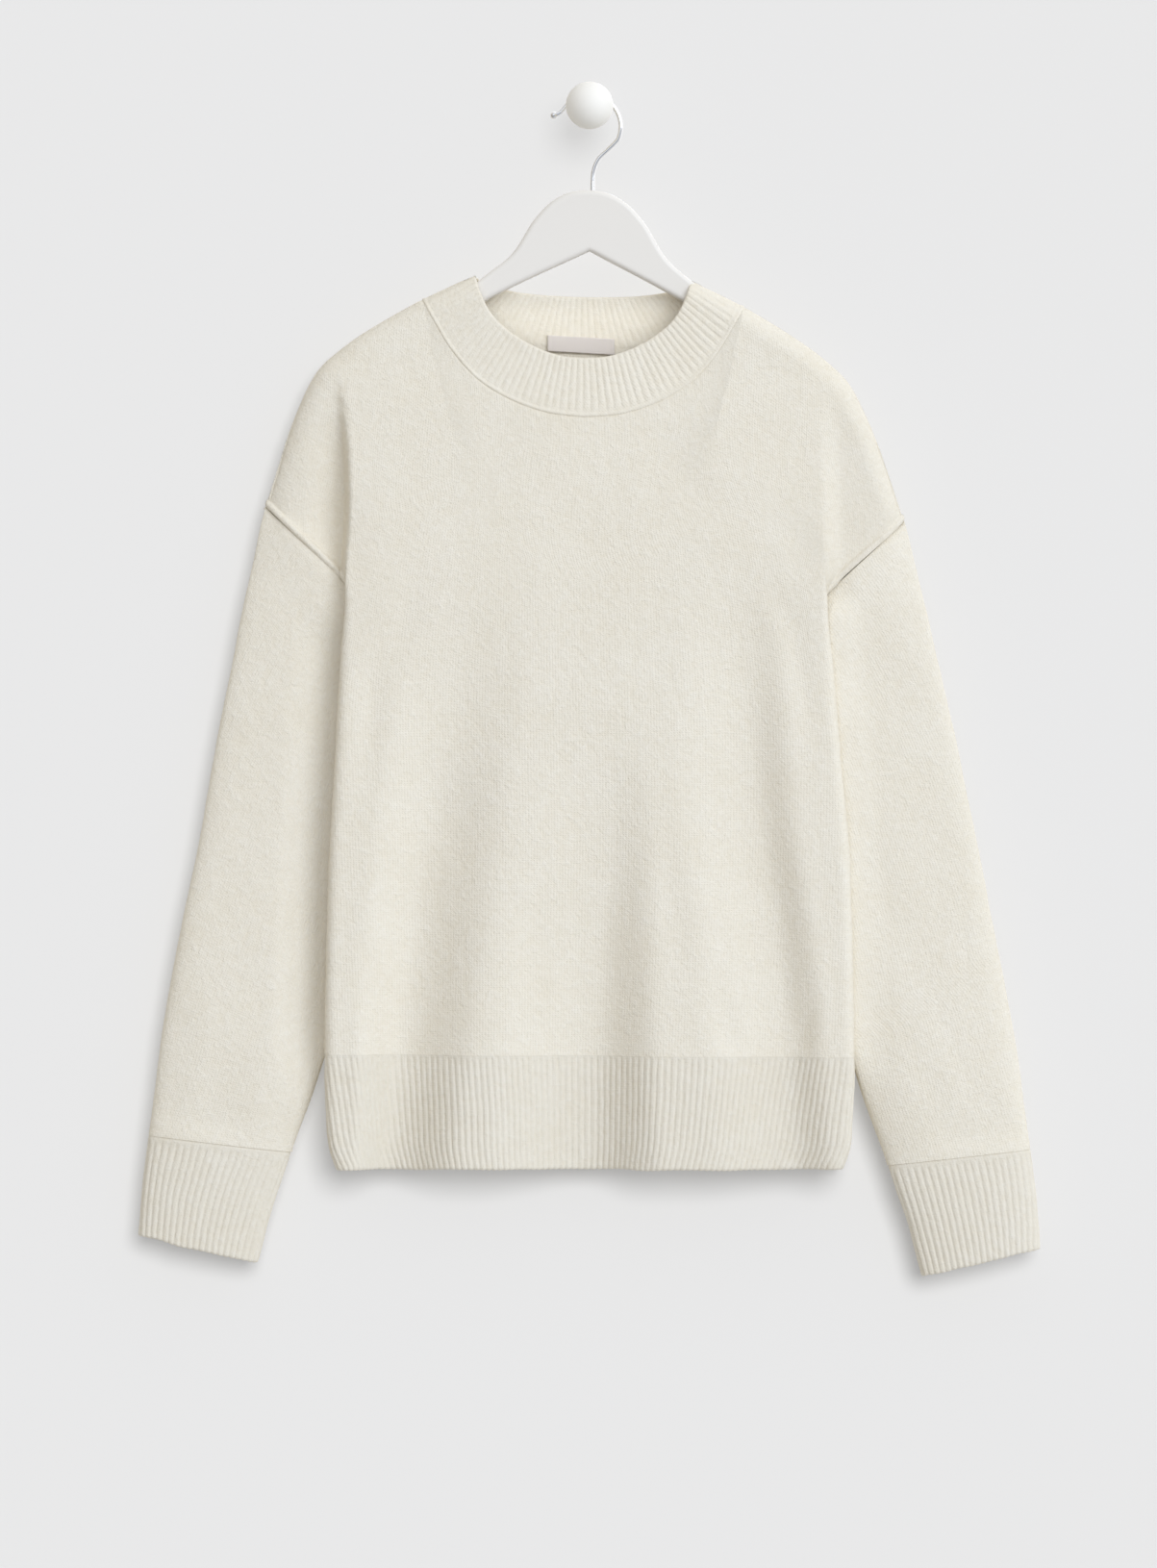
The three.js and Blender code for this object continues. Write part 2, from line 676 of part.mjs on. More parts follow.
function add(name, geometry, material) {
  const mesh = new THREE.Mesh(geometry, material);
  mesh.name = name;
  group.add(mesh);
}

add('body_front', bodyPanel(true), knit);
add('body_back', bodyPanel(false), knit);
add('hem_rib_front', hemRib(true), rib);
add('hem_rib_back', hemRib(false), rib);
add('sleeve_left', sleeveGeometry(-1), knit);
add('sleeve_right', sleeveGeometry(1), knit);
add('cuff_left', cuffGeometry(-1), rib);
add('cuff_right', cuffGeometry(1), rib);
add('neckband', neckband(), rib);
add('neck_label', neckLabel(), woven);
add('hanger_wood', hangerGeometry(), paintedWood);
add('hanger_hook', hookGeometry(), chrome);
add('wall_knob', knobGeometry(), paintedWood);

export default group;
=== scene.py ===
import math

import bmesh
import bpy
import numpy as np
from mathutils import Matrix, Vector, noise


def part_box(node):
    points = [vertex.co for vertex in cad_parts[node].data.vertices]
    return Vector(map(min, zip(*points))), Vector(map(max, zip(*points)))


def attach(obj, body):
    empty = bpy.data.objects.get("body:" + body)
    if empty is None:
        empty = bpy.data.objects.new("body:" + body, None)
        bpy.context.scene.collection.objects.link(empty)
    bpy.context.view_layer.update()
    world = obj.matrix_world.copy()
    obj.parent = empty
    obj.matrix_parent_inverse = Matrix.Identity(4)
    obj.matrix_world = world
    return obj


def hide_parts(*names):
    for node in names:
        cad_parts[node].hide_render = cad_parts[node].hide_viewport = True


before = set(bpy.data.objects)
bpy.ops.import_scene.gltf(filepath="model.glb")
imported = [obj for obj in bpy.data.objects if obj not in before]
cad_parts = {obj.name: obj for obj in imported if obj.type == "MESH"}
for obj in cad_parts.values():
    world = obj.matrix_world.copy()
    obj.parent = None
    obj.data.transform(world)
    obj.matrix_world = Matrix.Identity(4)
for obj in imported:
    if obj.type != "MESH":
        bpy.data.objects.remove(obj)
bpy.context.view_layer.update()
mm = 0.001

# Everything below is worked out in millimetres: x to the right as the front is faced, "out" is the
# distance in front of the wall, z is up. Meshes are written in metres with y = -out.

levels = {
    "hemBottom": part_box("hem_rib_front")[0].z / mm,
    "hemTop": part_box("body_front")[0].z / mm + 0.9,
    "underarm": -450.0,
    "seamOver": 1.2,         # how far a knit piece and its rib overlap, to either side of the joint
    "seamGap": 0.3,
    "crestOut": 28.0,        # the line over the shoulders, the arch beside it and the flat along it
    "crestArch": 14.0,
    "crestFlat": 0.6,
    "crestSteps": 72,
    "shoulderX": 209.0,
    "sheetHalf": 170.0,
    "sideOut": 31.0,
    "foldShare": 0.8,
}

# the whole garment leans on its hanger: a drop across its width and a shift, each full above a height
leanSettings = {
    "slope": 0.023, "slopeFrom": -740.0, "slopeFull": -400.0,
    "shift": -4.5, "shiftFrom": -500.0, "shiftFull": -200.0,
}


def makeTable(names, *rows):
    return {name: np.array(values, dtype=float) for name, values in zip(names.split(), zip(*rows))}


def readTable(table, key, at):
    # a smooth reading of every column at one or many values of the key column
    keys = table[key]
    order = np.argsort(keys)
    keys = keys[order]
    at = np.asarray(at, dtype=float)
    low = np.clip(np.searchsorted(keys, at, side="right") - 1, 0, len(keys) - 2)
    before, after = np.maximum(low - 1, 0), np.minimum(low + 2, len(keys) - 1)
    span = keys[low + 1] - keys[low]
    t = np.clip((at - keys[low]) / span, 0, 1)
    row = {}
    for name, column in table.items():
        values = column[order]
        a, b = values[low], values[low + 1]
        slopeA = (b - values[before]) / (keys[low + 1] - keys[before]) * span
        slopeB = (values[after] - a) / (keys[after] - keys[low]) * span
        row[name] = a + (b - a) * t * t * (3 - 2 * t) + slopeA * t * (1 - t) ** 2 - slopeB * t * t * (1 - t)
    return row


def smooth(value, low, high):
    t = np.clip((np.asarray(value, dtype=float) - low) / (high - low), 0, 1)
    return t * t * (3 - 2 * t)


# the line over the top of the garment, from the band's top edge to the end of the shoulder
crestLine = makeTable(
    "x z",
    (75.5, -118.4), (112.5, -136), (149.5, -157.7), (170, -172.5), (186, -188),
    (199.5, -214.5), (209, -240), (215.5, -261), (223, -283),
)

# the neckline from the middle to the shoulder: the seam on the body, and the band's free edge
frontNeck = makeTable(
    "seamX seamZ edgeX edgeZ",
    (0, -216.4, 0, -175), (25, -213.8, 15, -173.8), (51, -205, 32, -168.5), (74, -191, 50, -158.5),
    (92, -171, 63.5, -146), (105, -150, 71.5, -131), (112.5, -136, 75.5, -118.4),
)
backNeck = makeTable(
    "seamX seamZ edgeX edgeZ",
    (0, -170, 0, -131), (32, -169, 22, -130.5), (62, -165, 43, -129), (88, -157, 62, -125.5),
    (104, -146, 71.5, -121.8), (112.5, -136, 75.5, -118.4),
)

# the armhole, from the underarm (rise 0) to the shoulder's end (rise 1)
armhole = makeTable(
    "rise turnX turnZ edgeX edgeZ frontOut backOut fold radius",
    (0, 169, -450, 125, -450, 33, 29, 1, 7),
    (0.1, 168, -430, 130, -430, 36, 26, 1, 7),
    (0.25, 166, -388, 142, -389, 37.5, 23, 1, 6),
    (0.4, 165, -350, 156, -353, 38, 18, 0.85, 4.5),
    (0.46, 166, -335, 163, -342, 38, 16, 0.55, 4.5),
    (0.52, 166, -318, 171, -332, 38, 14, 0, 4),
    (0.67, 168, -293, 187, -317, 40, 14, 0, 4),
    (0.85, 191, -268, 208, -298, 37, 18, 0, 4),
    (1, 209, -240, 223, -283, 28, 28, 0, 4),
)

# the body's side below the underarm, and how far its seam is tucked in
sides = makeTable(
    "z rollX tuck",
    (-740, 176.5, 17), (-724, 181.5, 19), (-700, 183.5, 20), (-660, 184.5, 23), (-596, 183.5, 31),
    (-520, 181, 42), (-450, 176, 51),
)
# the side turns back under itself in a round of this radius, tighter on the back
turnSettings = {
    "radius": 7, "backTighter": 1.5, "backMost": 5, "arcStep": 22.5, "flatPower": 4,
    "bendShares": ((0.5, 0.12), (0.2, 0.35)),     # where the strip under the fold bends towards the seam
}

# how far the front and the back stand out from the wall
stance = makeTable(
    "z frontMiddle frontSide backMiddle backSide",
    (-740, 58, 55, 9, 9), (-560, 58, 56, 9, 9), (-450, 57, 56, 9, 9), (-380, 55, 53, 10, 10),
    (-320, 53, 51, 11, 12), (-216, 46, 43, 13, 16), (-175, 42, 39, 14, 17), (-118, 39, 39, 17, 17),
)

# hanging folds: the line of each valley, its depth and its width to either side
foldColumns = "z x deep left right"
frontFolds = [
    makeTable(
        foldColumns,
        (-740, -139, 27, 28, 50), (-596, -122.6, 21, 38, 54), (-496, -106, 14, 46, 52),
        (-409, -89, 6, 50, 50), (-350, -78, 0, 50, 50),
    ),
    makeTable(
        foldColumns,
        (-740, 0, 30, 75, 52), (-596, 7, 17, 75, 42), (-529, 12, 9, 72, 36), (-462, 15, 3, 60, 32),
        (-420, 16, 0, 60, 30),
    ),
    makeTable(
        foldColumns,
        (-740, 142, 13, 60, 30), (-596, 131, 13, 60, 30), (-489, 116, 11, 58, 30), (-380, 111, 5, 50, 30),
        (-300, 108, 0, 50, 30),
    ),
]
backFolds = [
    makeTable(foldColumns, (-740, -66, 13, 50, 42), (-560, -60, 8, 48, 42), (-400, -52, 0, 46, 42)),
    makeTable(foldColumns, (-740, 68, 12, 44, 52), (-560, 64, 8, 44, 50), (-380, 60, 0, 42, 48)),
]

# the crease beside the chest, above the underarm: how far the drop shoulder lies behind the chest,
# and the x at which it falls away
shoulderStep = makeTable(
    "z left leftAt right rightAt",
    (-440, 0, 169, 0, 164), (-400, 0, 169, 4, 164), (-366, 0, 169, 8, 164), (-345, 14, 168, 9, 164),
    (-325, 18, 166.5, 9, 164), (-300, 20, 164.5, 8, 164), (-275, 18, 163, 6, 164),
    (-240, 12, 164, 4, 164), (-214, 5, 166, 2, 164), (-190, 0, 168, 0, 164),
)
stepShapes = {
    "left": {"wide": 5.5, "rises": 0.3, "over": 34.0},
    "right": {"wide": 16.0, "rises": 0.0, "over": 26.0},
}


def smoothLine(xs, zs, steps):
    # a smooth line through points of the wall's plane, in even steps
    length = np.concatenate([[0], np.cumsum(np.hypot(np.diff(xs), np.diff(zs)))])
    row = readTable({"t": length, "x": xs, "z": zs}, "t", np.linspace(0, length[-1], steps + 1))
    return row["x"], row["z"]


crestSmooth = smoothLine(crestLine["x"], crestLine["z"], levels["crestSteps"])


def crestDistance(x, z):
    nearest = np.full(np.shape(x), np.inf)
    xs, zs = crestSmooth
    for ax, az, bx, bz in zip(xs[:-1], zs[:-1], xs[1:], zs[1:]):
        t = ((np.abs(x) - ax) * (bx - ax) + (z - az) * (bz - az)) / ((bx - ax) ** 2 + (bz - az) ** 2)
        t = np.clip(t, 0, 1)
        nearest = np.minimum(nearest, np.hypot(np.abs(x) - ax - t * (bx - ax), z - az - t * (bz - az)))
    return np.maximum(nearest - levels["crestFlat"], 0)


def foldDepth(folds, x, z):
    depth = np.zeros(np.broadcast(x, z).shape)
    for table in folds:
        row = readTable(table, "z", z)
        away = (x - row["x"]) / np.where(x < row["x"], row["left"], row["right"])
        profile = 0.5 * (1 + np.cos(math.pi * np.clip(away, -1, 1)))
        depth = depth + np.maximum(row["deep"], 0) * profile
    return depth * levels["foldShare"]


def stepDepth(x, z):
    # a steep side, deepest at its foot, from which the cloth may rise again towards the arm
    row = readTable(shoulderStep, "z", z)
    depth = np.zeros(np.shape(x))
    for name, reach in (("left", -x), ("right", x)):
        shape = stepShapes[name]
        beyond = reach - row[name + "At"]
        rise = shape["rises"] * smooth(beyond, shape["wide"], shape["over"])
        depth = depth + np.maximum(row[name], 0) * (smooth(beyond, 0, shape["wide"]) * (1 - rise))
    return depth


def sheetOut(isFront, x, z):
    row = readTable(stance, "z", z)
    across = np.minimum((x / levels["sheetHalf"]) ** 2, 1)
    if isFront:
        flat = row["frontMiddle"] + (row["frontSide"] - row["frontMiddle"]) * across
        flat = flat - foldDepth(frontFolds, x, z) - stepDepth(x, z)
    else:
        flat = row["backMiddle"] + (row["backSide"] - row["backMiddle"]) * across + foldDepth(backFolds, x, z)
    s = np.minimum(crestDistance(x, z) / levels["crestArch"], 1)
    return levels["crestOut"] + (flat - levels["crestOut"]) * np.sqrt(1 - (1 - s) ** 2)


def leanGrid(grid):
    # out becomes -y
    s = leanSettings
    x, out, z = grid[..., 0], grid[..., 1], grid[..., 2]
    fade = np.clip((z - s["shiftFrom"]) / (s["shiftFull"] - s["shiftFrom"]), 0, 1)
    slope = s["slope"] * np.clip((z - s["slopeFrom"]) / (s["slopeFull"] - s["slopeFrom"]), 0, 1)
    return np.stack([x + s["shift"] * fade, -out, z - slope * x], axis=-1)


def resample(points, shares):
    # points along a line, read smoothly at shares (0 to 1) of its length
    steps = np.linalg.norm(np.diff(points, axis=0), axis=1)
    length = np.concatenate([[0], np.cumsum(np.maximum(steps, 1e-6))])
    table = {"t": length / length[-1], "x": points[:, 0], "out": points[:, 1], "z": points[:, 2]}
    row = readTable(table, "t", shares)
    return np.stack([row["x"], row["out"], row["z"]], axis=-1)


def turnRadius(isFront, radius):
    return radius if isFront else min(radius - turnSettings["backTighter"], turnSettings["backMost"])


def halfGap(isFront):
    # front and back each keep half of the seam's gap from the seam's own plane
    return (0.5 if isFront else -0.5) * levels["seamGap"]


def turnUnder(isFront, side, row, edgeOut):
    # the strip from where the cloth turns back under itself to the seam; where fold is 0 it runs on flat
    face = 1 if isFront else -1
    radius = turnRadius(isFront, row["radius"])
    start = float(sheetOut(isFront, side * row["turnX"], row["turnZ"]))
    under = start - face * 2 * radius
    bend = max(abs(under - edgeOut), 0.5)
    arc = np.radians(np.arange(turnSettings["arcStep"], 181, turnSettings["arcStep"]))
    rolledX = list(row["turnX"] + radius * np.sin(arc))
    rolledOut = list(start - face * radius * (1 - np.cos(arc)))
    tuck = [(min(row["edgeX"] + bend, row["turnX"] - 1), 0.02)]
    tuck += [(row["edgeX"] + bend * near, share) for near, share in turnSettings["bendShares"]]
    tuck.append((row["edgeX"], 1))
    rolledX += [x for x, _ in tuck]
    rolledOut += [under + (edgeOut - under) * share for _, share in tuck]
    shares = np.concatenate([np.linspace(0.08, 0.62, len(arc)), [0.8, 0.87, 0.94, 1]])
    z = row["turnZ"] + (row["edgeZ"] - row["turnZ"]) * shares
    flatX = row["turnX"] + (row["edgeX"] - row["turnX"]) * shares
    sheet = sheetOut(isFront, side * flatX, z)
    flatOut = sheet + (edgeOut - sheet) * shares ** turnSettings["flatPower"]
    fold = np.clip(row["fold"], 0, 1)
    x = flatX + (np.array(rolledX) - flatX) * fold
    out = flatOut + (np.array(rolledOut) - flatOut) * fold
    return np.stack([side * x, out, z], axis=-1)


def bodyRow(isFront, z, columns):
    # a row below the underarm, level from one turned-back side to the other
    at = readTable(sides, "z", z)
    row = {
        "turnX": float(at["rollX"]) - turnRadius(isFront, turnSettings["radius"]), "turnZ": z,
        "edgeX": float(at["rollX"] - at["tuck"]), "edgeZ": z,
        "radius": turnSettings["radius"], "fold": 1,
    }
    edgeOut = levels["sideOut"] + halfGap(isFront)
    x = np.linspace(-row["turnX"], row["turnX"], columns)
    flat = np.stack([x, sheetOut(isFront, x, np.full(columns, z)), np.full(columns, z)], axis=-1)
    left, right = [turnUnder(isFront, side, row, edgeOut) for side in (-1, 1)]
    return np.concatenate([left[::-1], flat, right])


def halfTop(isFront):
    # the top edge from the middle of the neck, along the neck seam and the shoulder
    neck = frontNeck if isFront else backNeck
    line = np.stack([neck["seamX"], neck["seamX"] * 0, neck["seamZ"]], axis=-1)
    xs, zs = crestSmooth
    spots = np.arange(len(xs))
    start, end = np.interp([neck["seamX"][-1], levels["shoulderX"]], xs, spots)
    at = np.linspace(start, end, bodySettings["shoulderColumns"] + 1)[1:]
    shoulder = np.stack([np.interp(at, spots, values) for values in (xs, zs)], axis=-1)
    first = resample(line, np.linspace(0, 1, bodySettings["neckColumns"] + 1))[:, [0, 2]]
    return np.concatenate([first, shoulder])


def yokeRow(isFront, rise, top):
    # a row above the underarm, which bends from level (rise 0) to the top edge (rise 1)
    row = {name: float(value) for name, value in readTable(armhole, "rise", rise).items()}
    last = top[-1]
    if rise == 1:
        row["turnX"], row["turnZ"] = last
    lowX = armhole["turnX"][0]
    f = np.linspace(0, 1, len(top))
    x = (1 - rise) * lowX * f + rise * top[:, 0]
    x = x + f * (row["turnX"] - (1 - rise) * lowX - rise * last[0])
    z = levels["underarm"] + (top[:, 1] - levels["underarm"]) * rise
    straight = levels["underarm"] + (last[1] - levels["underarm"]) * rise
    z = z + (row["turnZ"] - straight) * f
    edgeOut = row["frontOut" if isFront else "backOut"] + halfGap(isFront)
    half = [np.stack([side * x, sheetOut(isFront, side * x, z), z], axis=-1) for side in (-1, 1)]
    left, right = [turnUnder(isFront, side, row, edgeOut) for side in (-1, 1)]
    return np.concatenate([left[::-1], half[0][::-1], half[1][1:], right])


def gridNormals(grid, isTube):
    if isTube:
        across = np.roll(grid, -1, axis=1) - np.roll(grid, 1, axis=1)
    else:
        across = np.gradient(grid, axis=1)
    normal = np.cross(across, np.gradient(grid, axis=0))
    return normal / np.maximum(np.linalg.norm(normal, axis=-1, keepdims=True), 1e-9)


def newPiece(name, mesh):
    piece = bpy.data.objects.new(name, mesh)
    bpy.context.scene.collection.objects.link(piece)
    return piece


def edgeFaces(edge, base, turned=False):
    # the faces between an edge of the outer grid and the same edge of the inner one, base points on
    a, b = (edge[:-1], edge[1:]) if turned else (edge[1:], edge[:-1])
    return np.stack([a, b, b + base, a + base], axis=-1)


def wallMesh(name, outer, inner, isTube, cloth, coordinates):
    # a closed shell between two grids of metres; rows run up and columns run right as the outer face is seen
    rows, columns = outer.shape[:2]
    at = np.arange(rows * columns).reshape(rows, columns)
    if isTube:
        at = np.concatenate([at, at[:, :1]], axis=1)
    base = rows * columns
    front = np.stack([at[:-1, :-1], at[:-1, 1:], at[1:, 1:], at[1:, :-1]], axis=-1).reshape(-1, 4)
    faces = [front, front[:, ::-1] + base, edgeFaces(at[0], base), edgeFaces(at[-1], base, turned=True)]
    if not isTube:
        faces += [edgeFaces(at[:, 0], base, turned=True), edgeFaces(at[:, -1], base)]
    faces = np.concatenate(faces)
    points = np.concatenate([outer.reshape(-1, 3), inner.reshape(-1, 3)])
    mesh = bpy.data.meshes.new(name)
    mesh.vertices.add(len(points))
    mesh.vertices.foreach_set("co", points.ravel())
    mesh.loops.add(faces.size)
    mesh.loops.foreach_set("vertex_index", faces.ravel())
    mesh.polygons.add(len(faces))
    mesh.polygons.foreach_set("loop_start", np.arange(len(faces)) * 4)
    mesh.polygons.foreach_set("loop_total", np.full(len(faces), 4))
    # the cut ends are shaded flat, so they don't darken the cloth beside them
    mesh.polygons.foreach_set("use_smooth", np.arange(len(faces)) < 2 * len(front))
    layer = mesh.uv_layers.new(name="cloth")
    flat = np.concatenate([coordinates.reshape(-1, 2)] * 2)
    layer.data.foreach_set("uv", flat[faces.ravel()].ravel())
    mesh.update(calc_edges=True)
    mesh.validate()
    mesh.materials.append(cloth)
    return newPiece(name, mesh)


def clothCoordinates(grid):
    # how far each point lies along the cloth, across and up, in metres
    across = np.linalg.norm(np.diff(grid, axis=1), axis=-1)
    across = np.concatenate([np.zeros((len(grid), 1)), np.cumsum(across, axis=1)], axis=1)
    across = across - across[:, across.shape[1] // 2][:, None]
    up = np.linalg.norm(np.diff(grid, axis=0), axis=-1).mean(axis=1)
    up = np.concatenate([[0], np.cumsum(up)])
    return np.stack([across, np.repeat(up[:, None], grid.shape[1], axis=1)], axis=-1)


def softNoise(grid, scale, seed):
    # even, smooth unevenness of hand-hung cloth, from -1 to 1; scale is its size in metres
    shift = Vector((seed * 7.31, seed * 3.17, seed * 1.93))
    flat = (grid * mm).reshape(-1, 3) / scale
    return np.array([noise.noise(Vector(p) + shift) for p in flat]).reshape(grid.shape[:2])


def troughs(table, x, z):
    # short creases: each is a line of a length, at an angle from upright, fading along it and across it
    depth = np.zeros(np.shape(x))
    for cx, cz, length, width, angle, deep in zip(*table.values()):
        turn = math.radians(angle)
        along = (x - cx) * math.sin(turn) + (z - cz) * math.cos(turn)
        across = (x - cx) * math.cos(turn) - (z - cz) * math.sin(turn)
        depth = depth + deep * np.exp(-((along / length) ** 2) * 2 - (across / width) ** 2)
    return depth


def feed(socket, value):
    if isinstance(value, bpy.types.NodeSocket):
        socket.id_data.links.new(value, socket)
    else:
        socket.default_value = value


def setNode(node, **values):
    # a name stands for a socket, with _ for its spaces, or for one of the node's own settings
    for name, value in values.items():
        socket = node.inputs.get(name.replace("_", " "))
        if socket is None:
            setattr(node, name, value)
        else:
            feed(socket, value)
    return node


def addNode(tree, kind, **values):
    return setNode(tree.nodes.new(kind), **values)


def calc(operation, first, *others):
    node = addNode(first.id_data, "ShaderNodeMath", operation=operation)
    for socket, value in zip(node.inputs, (first, *others)):
        feed(socket, value)
    return node.outputs[0]


def objectNoise(tree, **looks):
    place = addNode(tree, "ShaderNodeTexCoord").outputs["Object"]
    return addNode(tree, "ShaderNodeTexNoise", Vector=place, **looks).outputs["Fac"]


def mixShaders(tree, share, first, second, output):
    mix = addNode(tree, "ShaderNodeMixShader", Fac=share)
    feed(mix.inputs[1], first)
    feed(mix.inputs[2], second)
    setNode(tree.nodes[output], Surface=mix.outputs["Shader"])


def newMaterial(name):
    material = bpy.data.materials.new(name)
    material.use_nodes = True
    return material, material.node_tree, material.node_tree.nodes["Principled BSDF"]


def makeGroup(name, kind, inputs, outputs):
    group = bpy.data.node_groups.new(name, kind)
    for direction, sockets in (("INPUT", inputs), ("OUTPUT", outputs)):
        for socket, socketKind in sockets.items():
            group.interface.new_socket(socket, in_out=direction, socket_type="NodeSocket" + socketKind)
    return group, group.nodes.new("NodeGroupInput").outputs, group.nodes.new("NodeGroupOutput")


knitLooks = {
    "slant": 0.35,
    "lumps": {"Scale": 420.0, "Detail": 3.0, "Roughness": 0.62, "Distortion": 0.6},
    "hairs": {"Scale": 1500.0, "Detail": 2.0, "Roughness": 0.6, "Distortion": 1.2},
    "clumps": {"Scale": 190.0, "Detail": 2.0, "Roughness": 0.5, "Distortion": 0.4},
    "hairShare": 0.30,
    "clumpShare": 0.9,
}


def makeKnitGroup():
    # knitted stitches under a brushed, fuzzy surface: a height in millimetres and a mask of the fuzz, which
    # the cloth uses to paint shade into the fuzz's hollows
    s = knitLooks
    group, given, result = makeGroup(
        "brushedKnit", "ShaderNodeTree",
        {"Cloth": "Vector", "Wale mm": "Float", "Course mm": "Float", "Stitch": "Float", "Fuzz": "Float"},
        {"Height": "Float", "Mask": "Float"},
    )
    split = addNode(group, "ShaderNodeSeparateXYZ", Vector=given["Cloth"]).outputs
    u = calc("DIVIDE", calc("MULTIPLY", split["X"], 1 / mm), given["Wale mm"])
    v = calc("DIVIDE", calc("MULTIPLY", split["Y"], 1 / mm), given["Course mm"])
    leg = calc("PINGPONG", u, 0.5)
    rib = calc("SINE", calc("MULTIPLY", leg, math.pi))
    slant = calc("SINE", calc("MULTIPLY", calc("ADD", v, leg), 2 * math.pi))
    stitch = calc("ADD", calc("MULTIPLY", slant, s["slant"]), rib)
    lumps, hairs, clumps = [objectNoise(group, **s[name]) for name in ("lumps", "hairs", "clumps")]
    fuzz = calc("ADD", lumps, calc("MULTIPLY", hairs, s["hairShare"]))
    fuzz = calc("ADD", fuzz, calc("MULTIPLY", clumps, s["clumpShare"]))
    height = calc("ADD", calc("MULTIPLY", stitch, given["Stitch"]), calc("MULTIPLY", fuzz, given["Fuzz"]))
    setNode(result, Height=height, Mask=fuzz)
    return group


knitGroup = makeKnitGroup()

clothLooks = {
    "base": (0.868, 0.808, 0.675),
    "deep": (0.82, 0.745, 0.59),      # painted shade between the fibres, where the fuzz relief is low
    "roughness": 0.92,
    "specular": 0.2,
    "sheen": 0.08,
    "sheenRoughness": 0.45,
    "sheenTint": (1.0, 0.98, 0.93, 1.0),
    "cloud": {"Scale": 22.0, "Detail": 3.0, "Roughness": 0.55},
    "cloudShare": 0.6,
    "cloudLift": -0.25,
    "fuzzShare": 0.9,
    "deepAt": 0.75,
    "baseAt": 1.45,
}


def makeCloth(name, wale, course, stitch, fuzz, bump, shadeTone=1.0):
    s = clothLooks
    material, tree, shader = newMaterial(name)
    cloth = addNode(tree, "ShaderNodeUVMap", uv_map="cloth").outputs["UV"]
    knit = addNode(
        tree, "ShaderNodeGroup", node_tree=knitGroup, Cloth=cloth, Wale_mm=wale, Course_mm=course,
        Stitch=stitch, Fuzz=fuzz,
    ).outputs
    # the colour is darker and warmer where the fuzz relief is low, painted shade in its hollows, with a
    # random cloudy tone over it
    cloud = calc("MULTIPLY_ADD", objectNoise(tree, **s["cloud"]), s["cloudShare"], s["cloudLift"])
    hollowShadeAndCloud = calc("ADD", calc("MULTIPLY", knit["Mask"], s["fuzzShare"]), cloud)
    share = addNode(tree, "ShaderNodeMapRange", Value=hollowShadeAndCloud, From_Min=s["deepAt"], From_Max=s["baseAt"])
    deep, base = [[c * shadeTone for c in s[key]] + [1.0] for key in ("deep", "base")]
    colour = addNode(tree, "ShaderNodeMix", data_type="RGBA", Factor=share.outputs["Result"], A=deep, B=base)
    relief = addNode(tree, "ShaderNodeBump", Strength=1.0, Distance=bump * mm, Height=knit["Height"])
    setNode(
        shader, Base_Color=colour.outputs["Result"], Normal=relief.outputs["Normal"],
        Roughness=s["roughness"], Specular_IOR_Level=s["specular"], Sheen_Weight=s["sheen"],
        Sheen_Roughness=s["sheenRoughness"], Sheen_Tint=s["sheenTint"],
    )
    return material


# ribKnit and hemKnit are darker copies of the knit colour, painted shade: a little on the neckband, to offset
# the light of its glow, and more on the hem and cuffs, for the dimmer light and the ribs' own shade there
plainKnit = makeCloth("plainKnit", wale=2.0, course=1.5, stitch=0.13, fuzz=0.8, bump=0.85)
ribKnit = makeCloth("ribKnit", wale=2.0, course=1.6, stitch=0.10, fuzz=0.7, bump=0.8, shadeTone=0.985)
hemKnit = makeCloth("hemKnit", wale=2.0, course=1.6, stitch=0.10, fuzz=0.7, bump=0.7, shadeTone=0.925)

knitSettings = {
    "thick": 2.4, "ribThick": 2.6, "endRadius": 1.6, "thinnest": 0.02,
    "ribHeight": 0.9, "ribRise": 0.3, "ribSharp": 0.6, "ribStarts": (-0.4, 3.5), "nearJoint": 0.06,
    "underKnit": 0.5, "wobbleScale": 0.02, "puckerScale": 0.012,
}


def carry(piece, node=None):
    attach(piece, "root")
    if node:
        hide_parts(node)
    return piece


def clothPiece(name, node, grid, cloth, thick, relief, isTube=False, ease=None, ribInside=None):
    # grid: the cloth's outer face in millimetres; relief: how far the outer face is raised above it;
    # ease: a factor for each row that thins the wall to a rounded end
    base = leanGrid(grid) * mm
    normal = gridNormals(base, isTube)
    ease = (np.ones(len(grid)) if ease is None else ease)[:, None, None]
    middle = base - normal * thick * 0.5 * mm
    outer = middle + normal * ease * (thick * 0.5 + relief[..., None]) * mm
    inside = relief * 0 if ribInside is None else ribInside
    inner = middle - normal * ease * (thick * 0.5 + inside[..., None]) * mm
    return carry(wallMesh(name, outer, inner, isTube, cloth, clothCoordinates(base)), node)


def edgedShares(length, columns, fine, step):
    # shares of a row's length, close together near both of its ends
    near = np.arange(fine) * step / length
    middle = np.linspace(fine * step / length, 1 - fine * step / length, columns - 2 * fine)
    return np.concatenate([near, middle, (1 - near)[::-1]])


bodySettings = {
    "columns": 216, "edgeColumns": 16, "edgeStep": 0.45, "endRow": 0.15, "firstRow": 1.5, "lowRows": 66,
    "yokeRows": 96, "yokePower": 1.25, "flatColumns": 70, "neckColumns": 36, "shoulderColumns": 26,
    "rollWidth": 5.0, "rollHeight": 2.3, "rollStarts": (0.44, 0.56), "rollEnds": (0.0, 0.03),
    "underBand": 0.5, "underBandWide": 2.5, "topEase": 0.8,
    "noise": 0.5, "noiseScale": 0.055, "fineNoise": 0.22, "fineScale": 0.014,
}

